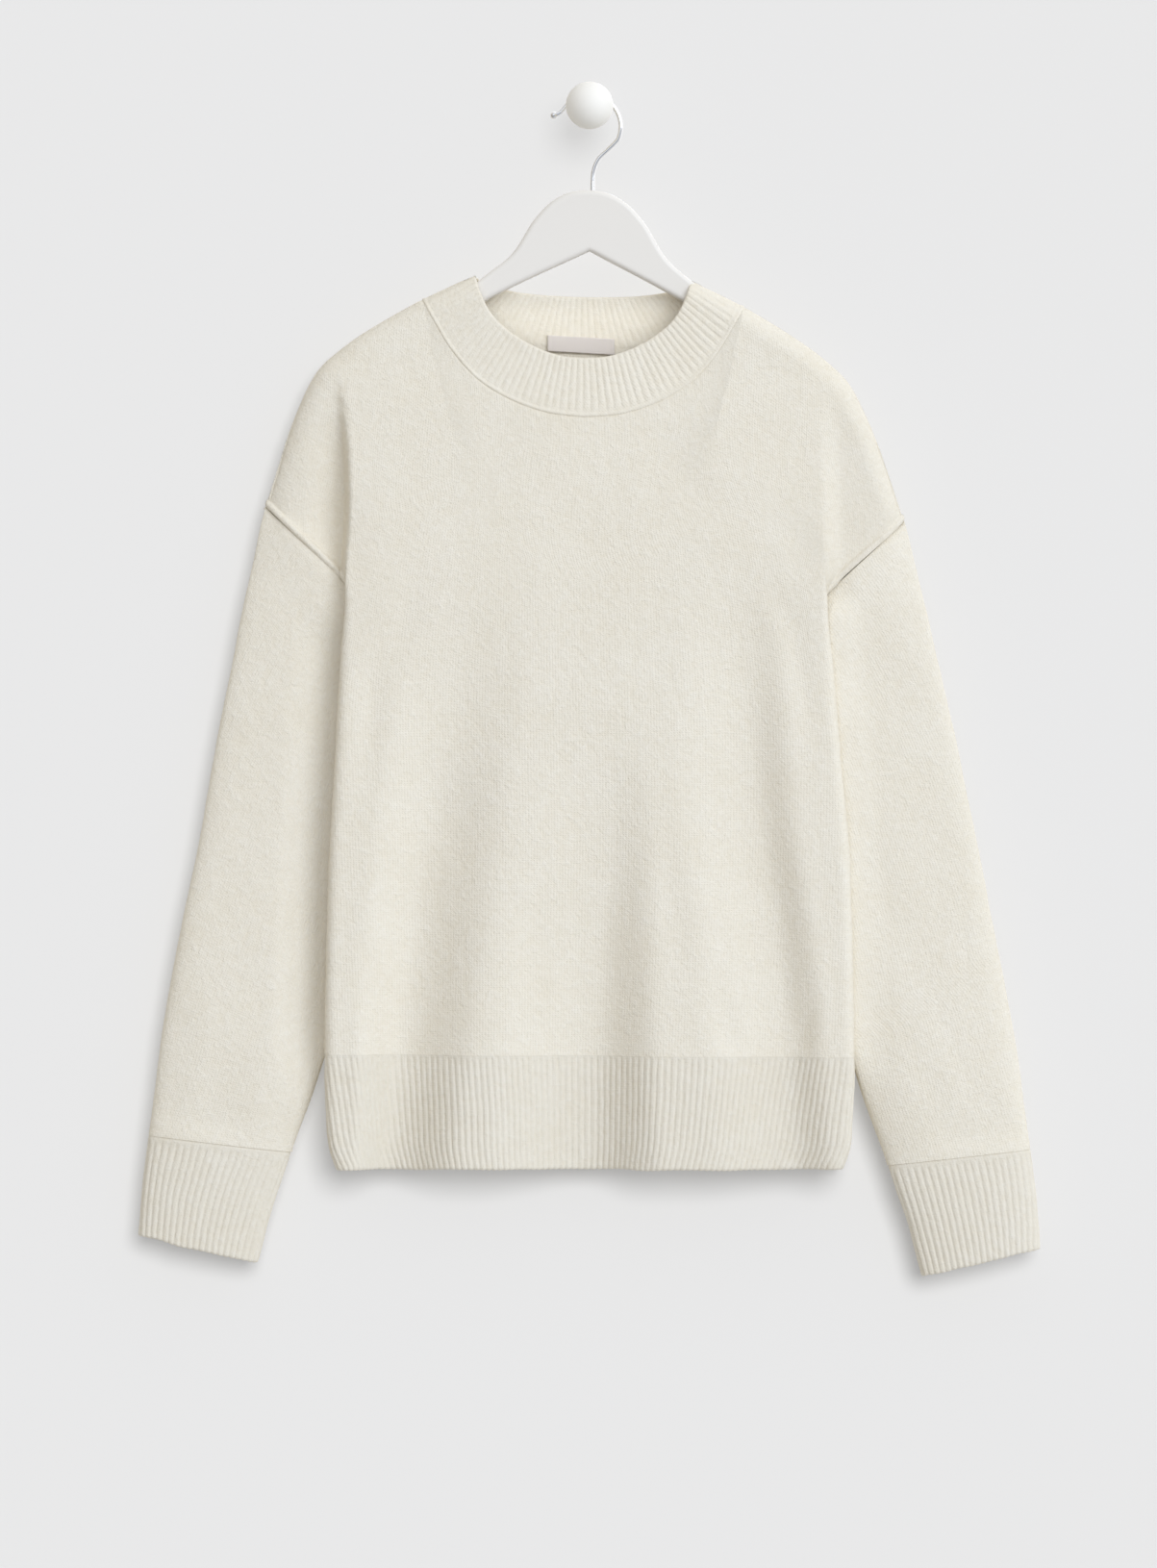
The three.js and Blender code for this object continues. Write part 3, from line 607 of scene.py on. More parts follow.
creaseColumns = "x z length width angle deep"
bodyCreases = makeTable(
    creaseColumns,
    (-150, -430, 60, 9, 6, 1.6), (-128, -365, 45, 10, 18, 1.2), (150, -400, 55, 10, -8, 1.4),
    (138, -350, 40, 9, -20, 1.0), (-40, -600, 70, 12, 4, 1.2), (60, -560, 60, 11, -5, 1.0),
    (95, -640, 40, 8, -12, 1.1), (150, -640, 30, 7, 14, 1.2), (-155, -610, 50, 8, 2, 1.0),
    (-60, -250, 50, 16, 30, 0.8), (70, -255, 50, 16, -30, 0.8), (0, -300, 60, 20, 0, 0.6),
)


def bodyGrid(isFront):
    # the rows from the hem up, and how far each has risen from the underarm to the top edge
    s = bodySettings
    low = levels["hemTop"] - levels["seamOver"]
    straight = np.linspace(low + s["firstRow"], levels["underarm"], s["lowRows"])[:-1]
    rows = [bodyRow(isFront, z, s["flatColumns"]) for z in [low, low + s["endRow"], *straight]]
    yoke = [1 - (1 - t) ** s["yokePower"] for t in np.linspace(0, 1, s["yokeRows"])]
    rises = np.array([0] * len(rows) + yoke)
    top = halfTop(isFront)
    rows += [yokeRow(isFront, rise, top) for rise in yoke]
    lengths = [np.linalg.norm(np.diff(row, axis=0), axis=1).sum() for row in rows]
    grid = np.array([
        resample(row, edgedShares(length, s["columns"], s["edgeColumns"], s["edgeStep"]))
        for row, length in zip(rows, lengths)
    ])
    return grid, rises


def makeBody(isFront):
    s = bodySettings
    grid, rises = bodyGrid(isFront)
    # the seam's roll along the armhole
    steps = np.linalg.norm(np.diff(grid, axis=1), axis=-1)
    run = np.concatenate([np.zeros((len(grid), 1)), np.cumsum(steps, axis=1)], axis=1)
    fromEdge = np.minimum(run, run[:, -1:] - run)
    half = s["rollWidth"] / 2
    roll = np.sqrt(np.clip(1 - ((fromEdge - half) / half) ** 2, 0, 1))
    starts, ends = smooth(rises, *s["rollStarts"]), smooth(1.02 - rises, *s["rollEnds"])
    relief = roll * s["rollHeight"] * starts[:, None] * ends[:, None]
    # the top edge lies a little under the neckband
    topRun = np.cumsum(np.linalg.norm(np.diff(grid[::-1], axis=0), axis=-1), axis=0)[::-1]
    topRun = np.concatenate([topRun, np.zeros((1, grid.shape[1]))])
    onNeck = np.abs(grid[-1, :, 0]) < frontNeck["seamX"][-1] + 0.5
    relief -= np.where(onNeck[None, :], s["underBand"] * smooth(-topRun, -s["underBandWide"], 0), 0)
    # listed creases and a soft unevenness, kept off the seams
    lowRun = grid[..., 2] - grid[0, :, 2][None, :]
    inside = smooth(fromEdge, 5, 30) * smooth(topRun, 3, 30) * smooth(lowRun, 0, 10)
    shown = grid[..., 0] if isFront else -grid[..., 0]
    uneven = softNoise(grid, s["noiseScale"], 1 if isFront else 2) * s["noise"]
    uneven += softNoise(grid, s["fineScale"], 3 if isFront else 4) * s["fineNoise"]
    relief += (uneven - troughs(bodyCreases, shown, grid[..., 2])) * inside
    if not isFront:
        grid, relief = grid[:, ::-1], relief[:, ::-1]
    ease = np.ones(len(grid))
    ease[-1] = s["topEase"]
    name, node = ("bodyFront", "body_front") if isFront else ("bodyBack", "body_back")
    return clothPiece(name, node, grid, plainKnit, knitSettings["thick"], relief, ease=ease)


bodyFront = makeBody(True)
bodyBack = makeBody(False)
print("body made")


def ribProfile(phase, sharp=knitSettings["ribSharp"]):
    return np.abs(np.sin(math.pi * phase)) ** sharp


def evenColumns(row, count, isTube):
    # columns in equal steps of length, by straight reading of a finely made row
    if isTube:
        row = np.concatenate([row, row[:1]])
    length = np.concatenate([[0], np.cumsum(np.linalg.norm(np.diff(row, axis=0), axis=1))])
    at = (np.arange(count) / count if isTube else np.linspace(0, 1, count)) * length[-1]
    return np.stack([np.interp(at, length, row[:, k]) for k in range(3)], axis=-1)


def roundedEnd(distance):
    # the factor that thins a wall to a rounded end
    inwards = 1 - np.clip(distance / knitSettings["endRadius"], 0, 1)
    return np.sqrt(np.clip(1 - inwards ** 2, knitSettings["thinnest"], 1))


def waver(phase, grid, s, wobbleSeed, wanderSeed):
    # ribs are never dead straight: a small, short wobble and a slow wander
    phase = phase + s["wobble"] * softNoise(grid, knitSettings["wobbleScale"], wobbleSeed)
    return phase + s["wander"] * softNoise(grid, s["wanderScale"], wanderSeed)


def ribRelief(phase, fade, below):
    # grooves cut into the cloth's own level; the ribs rise a little further down, and the part
    # beyond the joint (below < 0) lies under the knit
    s = knitSettings
    grooves = s["ribHeight"] * (1 - ribProfile(phase)) * fade
    under = s["nearJoint"] * smooth(-below, -3, 0) + s["underKnit"] * smooth(-below, 0.15, 1.0)
    return s["ribRise"] * smooth(below, 1, 12) - grooves - under


def freeRib(grid, s, below, edge, tip, seeds):
    # the relief outside and inside of a rib that hangs free; its edge is not cut dead straight, and
    # each rib ends a little lower than the groove beside it
    wobbleSeed, wanderSeed, puckerSeed, edgeSeed = seeds
    phase = waver(np.arange(grid.shape[1])[None, :] / s["perRib"], grid, s, wobbleSeed, wanderSeed)
    fade = smooth(below, *knitSettings["ribStarts"])
    relief = ribRelief(phase, fade, below)
    pucker = s["pucker"] * softNoise(grid, knitSettings["puckerScale"], puckerSeed)
    relief += pucker * smooth(below, *s["puckered"])
    grid[..., 2] += edge * s["edge"] * softNoise(grid, s["edgeScale"], edgeSeed)
    grid[..., 2] -= tip * s["ribEnds"] * ribProfile(phase)
    return relief, s["inside"] * ribProfile(phase + 0.5) * fade


hemSettings = {
    "ribs": 104, "perRib": 7, "rows": 30, "rowColumns": 220, "wobble": 0.10, "wander": 1.3,
    "wanderScale": 0.11, "pucker": 0.35, "puckered": (0, 8), "inside": 0.8,
    "edge": 0.9, "edgeScale": 0.025, "ribEnds": 0.55,
}


def makeHem(isFront):
    s = hemSettings
    low, high = levels["hemBottom"], levels["hemTop"] + levels["seamOver"]
    joint = high - 2 * levels["seamOver"]
    z = np.concatenate([
        low + np.array([0, 0.25, 0.7, 1.4, 2.4]), np.linspace(low + 4, joint - 4, s["rows"] - 10),
        joint + np.array([-2.5, -1.2, -0.3, 0.3, 1.2]), [high],
    ])
    columns = s["ribs"] * s["perRib"] + 1
    grid = np.array([evenColumns(bodyRow(isFront, level, s["rowColumns"]), columns, False) for level in z])
    below = (joint - z)[:, None]
    edge, tip = smooth(low + 14 - z, 0, 14)[:, None], smooth(low + 3 - z, 0, 3)[:, None]
    seeds = (5, 9, 7, 8) if isFront else (6, 10, 7, 8)
    relief, ribInside = freeRib(grid, s, below, edge, tip, seeds)
    if not isFront:
        grid, relief, ribInside = grid[:, ::-1], relief[:, ::-1], ribInside[:, ::-1]
    return clothPiece(
        "hemRibFront" if isFront else "hemRibBack", "hem_rib_front" if isFront else "hem_rib_back",
        grid, hemKnit, knitSettings["ribThick"], relief, ease=roundedEnd(z - low), ribInside=ribInside,
    )


hemFront = makeHem(True)
hemBack = makeHem(False)
print("hem ribs made")

# the sleeve, from the armhole (reach 0) to the cuff (reach 1), and the cuff from its free end up
reachColumns = "reach outerX outerZ innerX innerZ half out"
sleeveTable = makeTable(
    reachColumns,
    (0, 223, -283, 125, -450, 9, 31), (0.1, 231, -314, 131, -471, 9.5, 31),
    (0.25, 243, -370, 140, -503, 10.5, 31), (0.4, 257, -436, 150, -543, 11.5, 31),
    (0.55, 270, -502, 162, -588, 13, 31), (0.7, 283, -567, 174, -631, 14.5, 31),
    (0.85, 297, -640, 188, -677, 15, 31), (1, 308, -722, 208, -733, 13, 31),
)
cuffTable = makeTable(
    reachColumns,
    (0, 315, -791, 232, -811, 10, 31), (0.5, 312, -757, 222, -773, 11.8, 31),
    (1, 308, -722, 208, -733, 12.95, 31),
)
sleeveSettings = {
    "armholeFade": 0.3, "hang": 4.5, "underarmGap": 1.2, "fullness": 0.75, "around": 150, "along": 170,
    "ends": (0.002, 0.998), "noise": 0.8, "noiseScale": 0.05, "fineNoise": 0.25, "fineScale": 0.014,
    "backCreases": 0.7, "seamDip": 0.5,
}


def sleeveRings(side, rows, blend, around, drop):
    # rings of the sleeve: the columns run round it, and the blend leads each ring into the armhole
    angle = np.linspace(0, 2 * math.pi, around, endpoint=False)[None, :]
    part = {name: np.asarray(column)[:, None] for name, column in rows.items()}
    s = 0.5 - np.cos(angle) * 0.5
    lift = np.sign(np.sin(angle)) * np.abs(np.sin(angle)) ** sleeveSettings["fullness"]
    lensX = part["outerX"] + (part["innerX"] - part["outerX"]) * s
    lensZ = part["outerZ"] + (part["innerZ"] - part["outerZ"]) * s
    lensOut = part["out"] + part["half"] * lift
    hole = readTable(armhole, "rise", 1 - s)
    gap = levels["seamGap"] + sleeveSettings["underarmGap"] * np.maximum(2 * s - 1, 0)
    holeX = hole["edgeX"] + gap
    holeOut = np.where(np.sin(angle) >= 0, hole["frontOut"], hole["backOut"])
    w = np.asarray(blend)[:, None]
    x = side * (lensX + (holeX - lensX) * w)
    out = lensOut + (holeOut - lensOut) * w
    z = lensZ + (hole["edgeZ"] - lensZ) * w - np.asarray(drop)[:, None]
    rings = np.stack([x, out, z], axis=-1)
    return rings[:, ::-1] if side > 0 else rings


# the left sleeve's front sinks behind the body's edge, and the right one's lies up against it
besideSettings = {
    -1: {"out": 33.0, "near": 2.0, "far": 38.0, "under": -60.0, "from": -385, "to": -345},
    1: {"out": 46.0, "near": 0.0, "far": 26.0, "under": -9.0, "from": -355, "to": -332},
}
besideShared = {"soft": 6, "wider": 5, "widerFrom": -440, "widerTo": -390, "cuffFrom": -705, "cuffTo": -640}


def besideBody(side, x, out, z):
    s = {**besideShared, **besideSettings[side]}
    edge = readTable(sides, "z", np.minimum(z, levels["underarm"]))["rollX"]
    away = np.abs(x) - edge + s["wider"] * smooth(z, s["widerFrom"], s["widerTo"])
    share = (1 - smooth(away, s["near"], s["far"])) * smooth(away, s["under"], s["under"] + s["soft"])
    share = share * smooth(z, s["cuffFrom"], s["cuffTo"]) * (1 - smooth(z, s["from"], s["to"]))
    return np.where(out > levels["sideOut"], out + (s["out"] - out) * share, out)


sleeveCreases = {
    1: makeTable(
        creaseColumns,
        (243, -530, 120, 26, -12, 1.6), (262, -640, 110, 24, -12, 2.2), (226, -590, 90, 22, -16, 1.2),
        (276, -705, 50, 18, -10, 1.6), (252, -715, 34, 14, -24, 1.4), (216, -400, 60, 16, -30, 0.9),
        (204, -545, 60, 14, -14, 0.9), (292, -660, 60, 14, -9, 0.8), (236, -676, 34, 11, -30, 1.0),
    ),
    -1: makeTable(
        creaseColumns,
        (-236, -490, 110, 26, 12, 1.1), (-254, -600, 110, 26, 12, 1.4), (-238, -650, 60, 18, 28, 1.3),
        (-264, -700, 50, 16, 24, 1.5), (-218, -560, 80, 20, 16, 1.0), (-286, -650, 60, 15, 9, 0.9),
        (-226, -392, 50, 16, 28, 0.8), (-250, -714, 30, 12, 38, 1.3), (-292, -702, 30, 11, 20, 0.9),
    ),
}


def makeSleeve(side):
    s = sleeveSettings
    t = np.concatenate([[0, 0], np.linspace(0, 1, s["along"])[1:]])
    reach = np.clip(1 - t, *s["ends"])
    blend = np.maximum(1 - reach / s["armholeFade"], 0) ** 2
    drop = s["hang"] * side * reach
    drop[:2] += levels["seamOver"] - np.array([0, bodySettings["endRow"]])
    grid = sleeveRings(side, readTable(sleeveTable, "reach", reach), blend, s["around"], drop)
    grid[..., 1] = besideBody(side, *np.moveaxis(grid, -1, 0))
    seam = smooth(reach, 0.0, 0.05)[:, None]
    cuffEnd = smooth(1 - reach, 0.0, 0.03)[:, None]
    relief = softNoise(grid, s["noiseScale"], 11 + side) * s["noise"]
    relief += softNoise(grid, s["fineScale"], 13 + side) * s["fineNoise"]
    isFront = grid[..., 1] > levels["sideOut"]
    deep = troughs(sleeveCreases[side], grid[..., 0], grid[..., 2])
    relief -= deep * np.where(isFront, 1.0, s["backCreases"])
    relief = relief * seam * cuffEnd - s["seamDip"] * (1 - seam)
    name, node = ("sleeveLeft", "sleeve_left") if side < 0 else ("sleeveRight", "sleeve_right")
    return clothPiece(name, node, grid, plainKnit, knitSettings["thick"], relief, isTube=True)


sleeves = [makeSleeve(side) for side in (-1, 1)]
print("sleeves made")

cuffSettings = {
    "ribs": 43, "perRib": 8, "rows": 26, "around": 360, "wobble": 0.12, "wander": 0.8, "wanderScale": 0.09,
    "length": 68.0, "pucker": 0.3, "puckered": knitSettings["ribStarts"], "inside": 0.7,
    "edge": 1.4, "edgeScale": 0.02, "ribEnds": 0.5,
}


def makeCuff(side):
    s = cuffSettings
    joint = 1 - 2 * levels["seamOver"] / s["length"]
    reach = np.concatenate([
        np.array([0, 0.004, 0.011, 0.022, 0.038]), np.linspace(0.06, joint - 0.06, s["rows"] - 10),
        joint + np.array([-0.037, -0.018, -0.005, 0.005, 0.018]), [1],
    ])
    drop = sleeveSettings["hang"] * side + levels["seamGap"] - levels["seamOver"] * smooth(reach, 0.9, 1)
    rings = sleeveRings(side, readTable(cuffTable, "reach", reach), reach * 0, s["around"], drop)
    columns = s["ribs"] * s["perRib"]
    grid = np.array([evenColumns(ring, columns, True) for ring in rings])
    below = ((1 - reach) * s["length"] - 2 * levels["seamOver"])[:, None]
    edge, tip = smooth(0.2 - reach, 0, 0.2)[:, None], smooth(0.04 - reach, 0, 0.04)[:, None]
    seeds = [seed + side for seed in (17, 23, 19, 21)]
    relief, ribInside = freeRib(grid, s, below, edge, tip, seeds)
    name, node = ("cuffLeft", "cuff_left") if side < 0 else ("cuffRight", "cuff_right")
    return clothPiece(
        name, node, grid, hemKnit, knitSettings["ribThick"], relief, isTube=True,
        ease=roundedEnd(reach * s["length"]), ribInside=ribInside,
    )


cuffs = [makeCuff(side) for side in (-1, 1)]
print("cuffs made")

neckSettings = {
    "perRib": 8, "width": 41.0, "seamFrom": -0.9, "ridge": 0.5, "ridgeAt": 1.2, "ridgeWide": 1.1,
    "sink": 0.45, "ribsFrom": 2.4, "ribsFull": 5.2, "ribHeight": 0.78, "ribSharp": 0.55, "endShare": 0.55,
    "wobble": 0.09, "wander": 0.5, "wanderScale": 0.07, "pucker": 0.25, "inside": 0.6,
}
neckParts = {
    True: {"table": frontNeck, "ribs": 52},
    False: {"table": backNeck, "ribs": 42},
}


def neckLine(xName, zName):
    # once round: over the front from left to right, then over the back from right to left
    points = []
    for isFront, part in neckParts.items():
        table = part["table"]
        count = part["ribs"] // 2 * neckSettings["perRib"] + 1
        line = np.stack([table[xName], table[xName] * 0, table[zName]], axis=-1)
        half = resample(line, np.linspace(0, 1, count))[:, [0, 2]]
        start = -1 if isFront else 1
        near = np.stack([start * half[:, 0], half[:, 1]], axis=-1)[::-1]
        far = np.stack([-start * half[:, 0], half[:, 1]], axis=-1)[1:-1]
        points.append(np.concatenate([near, far]))
    return points


def makeNeckband():
    s = neckSettings
    # distances from the seam: close together over the seam's ridge and at the free edge
    seamSide = np.concatenate([np.arange(s["seamFrom"], 2.5, 0.4), [3.1, 4.0, 5.2]])
    freeSide = s["width"] - np.array([3.0, 1.8, 1.0, 0.5, 0.15, 0.0])
    run = np.concatenate([seamSide, np.linspace(7, s["width"] - 5, 14), freeSide])
    share = run / s["width"]
    loops = []
    phases = []
    for isFront, seam, edge in zip(neckParts, neckLine("seamX", "seamZ"), neckLine("edgeX", "edgeZ")):
        flat = seam[None] + (edge - seam)[None] * share[:, None, None]
        out = sheetOut(isFront, flat[..., 0], flat[..., 1])
        loops.append(np.stack([flat[..., 0], out, flat[..., 1]], axis=-1))
        phases.append(np.arange(len(seam)) / s["perRib"])
    grid = np.concatenate(loops, axis=1)
    phase = waver(np.concatenate(phases)[None, :], grid, s, 25, 24)
    ends = s["endShare"] + (1 - s["endShare"]) * smooth(s["width"] - run, 0, 2.5)
    fade = (smooth(run, s["ribsFrom"], s["ribsFull"]) * ends)[:, None]
    under = 0.75 * smooth(-run, -0.3, 0.8)
    ridge = s["ridge"] * np.exp(-(((run - s["ridgeAt"]) / s["ridgeWide"]) ** 2)) - under
    relief = (s["ribHeight"] * ribProfile(phase, s["ribSharp"]) - s["sink"]) * fade + ridge[:, None]
    relief += s["pucker"] * softNoise(grid, 0.015, 26)
    ribInside = s["inside"] * ribProfile(phase + 0.5) * fade
    return clothPiece(
        "bandOfNeck", "neckband", grid, ribKnit, knitSettings["ribThick"], relief, isTube=True,
        ease=roundedEnd(s["width"] - run), ribInside=ribInside,
    )


neckband = makeNeckband()

labelSettings = {
    "x": -1.5, "width": 47.0, "low": -170.4, "high": -159.2, "thick": 0.8, "sink": 3.5, "tilt": -0.035,
    "columns": 49, "rows": 15, "hem": 0.25, "hemAt": 1.2, "noise": 0.12,
    "colour": (0.735, 0.665, 0.585), "roughness": 0.7, "sheen": 0.15, "threads": 900.0, "strength": 0.5,
    "deep": 0.15,
}


def makeWeave():
    s = labelSettings
    material, tree, shader = newMaterial("labelWeave")
    place = addNode(tree, "ShaderNodeTexCoord").outputs["Object"]
    warp, weft = [
        addNode(tree, "ShaderNodeTexWave", Scale=s["threads"], bands_direction=direction, Vector=place)
        for direction in ("X", "Z")
    ]
    threads = calc("MAXIMUM", warp.outputs["Fac"], weft.outputs["Fac"])
    relief = addNode(tree, "ShaderNodeBump", Strength=s["strength"], Distance=s["deep"] * mm, Height=threads)
    setNode(
        shader, Base_Color=(*s["colour"], 1), Roughness=s["roughness"], Sheen_Weight=s["sheen"],
        Normal=relief.outputs["Normal"],
    )
    return material


def makeLabel():
    s = labelSettings
    x = np.linspace(-0.5, 0.5, s["columns"]) * s["width"] + s["x"]
    gridX, gridZ = np.meshgrid(x, np.linspace(s["low"], s["high"], s["rows"]))
    out = sheetOut(False, gridX, gridZ) + s["sink"]
    grid = np.stack([gridX, out + s["thick"], gridZ + s["tilt"] * (gridX - s["x"])], axis=-1)
    # the ends are folded under, and the weave lies a little wavy
    fromEnd = s["width"] / 2 - np.abs(gridX - s["x"])
    relief = s["hem"] * np.exp(-((fromEnd - s["hemAt"]) / 1.0) ** 2) + s["noise"] * softNoise(grid, 0.01, 27)
    return clothPiece("neckLabel", "neck_label", grid, makeWeave(), s["thick"], relief)


neckLabel = makeLabel()
print("neckband and label made")


def meshPiece(name, node, points, faces, material):
    mesh = bpy.data.meshes.new(name)
    mesh.from_pydata(points, [], faces)
    mesh.validate()
    mesh.polygons.foreach_set("use_smooth", [True] * len(mesh.polygons))
    mesh.update()
    work = bmesh.new()
    work.from_mesh(mesh)
    bmesh.ops.recalc_face_normals(work, faces=work.faces)
    work.to_mesh(mesh)
    work.free()
    mesh.update()
    mesh.materials.append(material)
    return carry(newPiece(name, mesh), node)


def ringFaces(rings, columns):
    faces = []
    for a in range(0, (rings - 1) * columns, columns):
        for j in range(columns):
            k = (j + 1) % columns
            faces.append((a + j, a + k, a + columns + k, a + columns + j))
    return faces


def closedFaces(rings, columns, step=1):
    # rings and a cap at either end; step -1 turns the caps the other way round
    low, high = range(columns), range((rings - 1) * columns, rings * columns)
    return ringFaces(rings, columns) + [tuple(low[::step]), tuple(high[::-step])]


hangerSettings = {"out": 28.0, "thick": 11.6, "round": 3.2, "lean": 0.035, "steps": 280}
hangerHalf = [
    (0, -57.2), (8, -57.8), (16, -60), (25, -65), (32, -71.3), (40, -81), (45, -89.3), (50, -97.8),
    (55, -104.5), (60, -109.2), (66, -114), (73, -119.5), (82, -127), (106, -149), (143, -168), (158, -180),
    (162, -187), (160, -193), (152, -195), (140, -190), (110, -170.5), (88, -150), (68, -134.4), (0, -99.8),
]


paintLooks = {"peel": {"Scale": 260.0, "Detail": 2.0}, "strength": 0.25, "deep": 0.12}


def makePaint(name, colour, roughness):
    # a hand-painted surface, with a little orange peel
    s = paintLooks
    material, tree, shader = newMaterial(name)
    peel = objectNoise(tree, **s["peel"])
    relief = addNode(tree, "ShaderNodeBump", Strength=s["strength"], Distance=s["deep"] * mm, Height=peel)
    setNode(shader, Base_Color=(*colour, 1), Roughness=roughness, Normal=relief.outputs["Normal"])
    return material


def makeHanger():
    s = hangerSettings
    outline = np.array(hangerHalf + [(-x, z) for x, z in hangerHalf[1:-1][::-1]], dtype=float)
    apex = len(hangerHalf) - 1
    outline = np.concatenate([outline[apex:], outline[:apex + 1]])
    line = np.stack(smoothLine(outline[:, 0], outline[:, 1], s["steps"]), axis=-1)[:-1]
    along = np.roll(line, -1, axis=0) - np.roll(line, 1, axis=0)
    outward = np.stack([along[:, 1], -along[:, 0]], axis=-1) / np.linalg.norm(along, axis=1, keepdims=True)
    if ((line - line.mean(axis=0)) * outward).sum() < 0:
        outward = -outward
    flat = s["thick"] / 2 - s["round"]
    turns = np.radians(np.arange(0, 91, 15))
    half = [(s["round"] * (1 - math.cos(t)), flat + s["round"] * math.sin(t)) for t in turns]
    half.append((s["round"] + 0.5, s["thick"] / 2))
    section = [(inset, -out) for inset, out in half[::-1]] + half
    points = []
    for inset, out in section:
        ring = line - outward * inset
        points += [(x * mm, -(s["out"] + out) * mm, (z - s["lean"] * x) * mm) for x, z in ring]
    faces = closedFaces(len(section), len(line), step=-1)
    paint = makePaint("hangerPaint", (0.82, 0.773, 0.684), 0.42)
    return meshPiece("hangerWood", "hanger_wood", points, faces, paint)


hookSettings = {
    "out": 28.0, "wire": 1.5, "bow": 22.0, "bowX": -0.3, "stem": 7.5, "tipBall": 2.6, "tipRings": 12,
    "steps": 160, "sides": 20, "colour": (0.86, 0.845, 0.81), "roughness": 0.1,
}


def hookPath():
    s = hookSettings
    middleZ = s["stem"] + levels["seamGap"] + s["wire"] - s["bow"]
    path = [(2, -60), (2, -57.1), (2.1, -50), (2.7, -43.5), (6, -35.5), (12, -29.5), (17.4, -24.4)]
    for angle in np.radians(np.arange(-22, 151, 21.5)):
        path.append((s["bowX"] + s["bow"] * math.cos(angle), middleZ + s["bow"] * math.sin(angle)))
    path += [(-21.2, -3.2), (-25, -4.9)]
    points = np.array([(x, s["out"], z) for x, z in path])
    return resample(points, np.linspace(0, 1, s["steps"]))


def makeHook():
    s = hookSettings
    path = hookPath()
    along = np.gradient(path, axis=0)
    along /= np.linalg.norm(along, axis=1, keepdims=True)
    side = np.stack([-along[:, 2], along[:, 1] * 0, along[:, 0]], axis=-1)
    turn = np.linspace(0, 2 * math.pi, s["sides"], endpoint=False)
    points = [
        spot + s["wire"] * (across * math.cos(t) + np.array([0, 1, 0]) * math.sin(t))
        for spot, across in zip(path, side) for t in turn
    ]
    # the small ball at the tip
    first = len(points)
    for polar in [math.pi * i / s["tipRings"] for i in range(1, s["tipRings"])]:
        r, up = s["tipBall"] * math.sin(polar), s["tipBall"] * math.cos(polar)
        points += [path[-1] + (r * math.cos(t), r * math.sin(t), up) for t in turn]
    points = [(x * mm, -out * mm, z * mm) for x, out, z in points]
    ball = [tuple(first + v for v in face) for face in closedFaces(s["tipRings"] - 1, s["sides"])]
    faces = ringFaces(len(path), s["sides"]) + ball + [tuple(range(s["sides"]))[::-1]]
    material, _, shader = newMaterial("wireChrome")
    setNode(shader, Base_Color=(*s["colour"], 1), Metallic=1.0, Roughness=s["roughness"])
    return meshPiece("hangerHook", "hanger_hook", points, faces, material)


knobSettings = {
    "base": 11.0, "baseDeep": 4.0, "stem": 7.5, "ball": 16.5, "ballOut": 52.0, "sides": 96, "rings": 48,
}


def makeKnob():
    s = knobSettings
    base, deep, stem, ball, ballOut = [s[key] for key in ("base", "baseDeep", "stem", "ball", "ballOut")]
    profile = [(0.01, 0), (base - 0.4, 0), (base, 0.4)]
    profile += [(base - 1 + math.cos(t), deep - 1 + math.sin(t)) for t in np.radians(np.arange(0, 91, 15))]
    profile += [(stem + 2.2, deep), (stem + 0.6, deep + 0.5), (stem, deep + 2)]
    first = math.asin(stem / ball)
    start = ballOut - ball * math.cos(first)
    profile += [(stem, start - 3), (stem, start - 0.6)]
    turns = np.linspace(first + 0.04, math.pi - 0.02, s["rings"])
    profile += [(ball * math.sin(t), ballOut - ball * math.cos(t)) for t in turns]
    turn = np.linspace(0, 2 * math.pi, s["sides"], endpoint=False)
    points = [(r * math.cos(t) * mm, -out * mm, r * math.sin(t) * mm) for r, out in profile for t in turn]
    faces = closedFaces(len(profile), s["sides"])
    paint = makePaint("knobPaint", (0.90, 0.86, 0.765), 0.7)
    return meshPiece("wallKnob", "wall_knob", points, faces, paint)


fuzzSettings = {
    "length": 2.6, "width": 0.07, "bend": 0.9, "tilt": 0.75, "smallest": 0.4, "largest": 1.1, "edgeOn": 0.55,
    "seed": 11, "density": {"knit": 150000.0, "rib": 90000.0},
}


def makeFibre():
    # one fibre of wool: a thin, bent ribbon that stands on its root
    s = fuzzSettings
    points = []
    for share, wide in ((0, 1), (0.4, 0.9), (0.75, 0.7), (1, 0.15)):
        half = s["width"] * wide * 0.5 * mm
        out, side = s["length"] * share * (1 - 0.25 * share) * mm, s["bend"] * share ** 2 * mm
        points += [(-half, side, out), (half, side, out)]
    mesh = bpy.data.meshes.new("woolFibre")
    mesh.from_pydata(points, [], [(0, 1, 3, 2), (2, 3, 5, 4), (4, 5, 7, 6)])
    mesh.update()
    return bpy.data.objects.new("woolFibre", mesh)


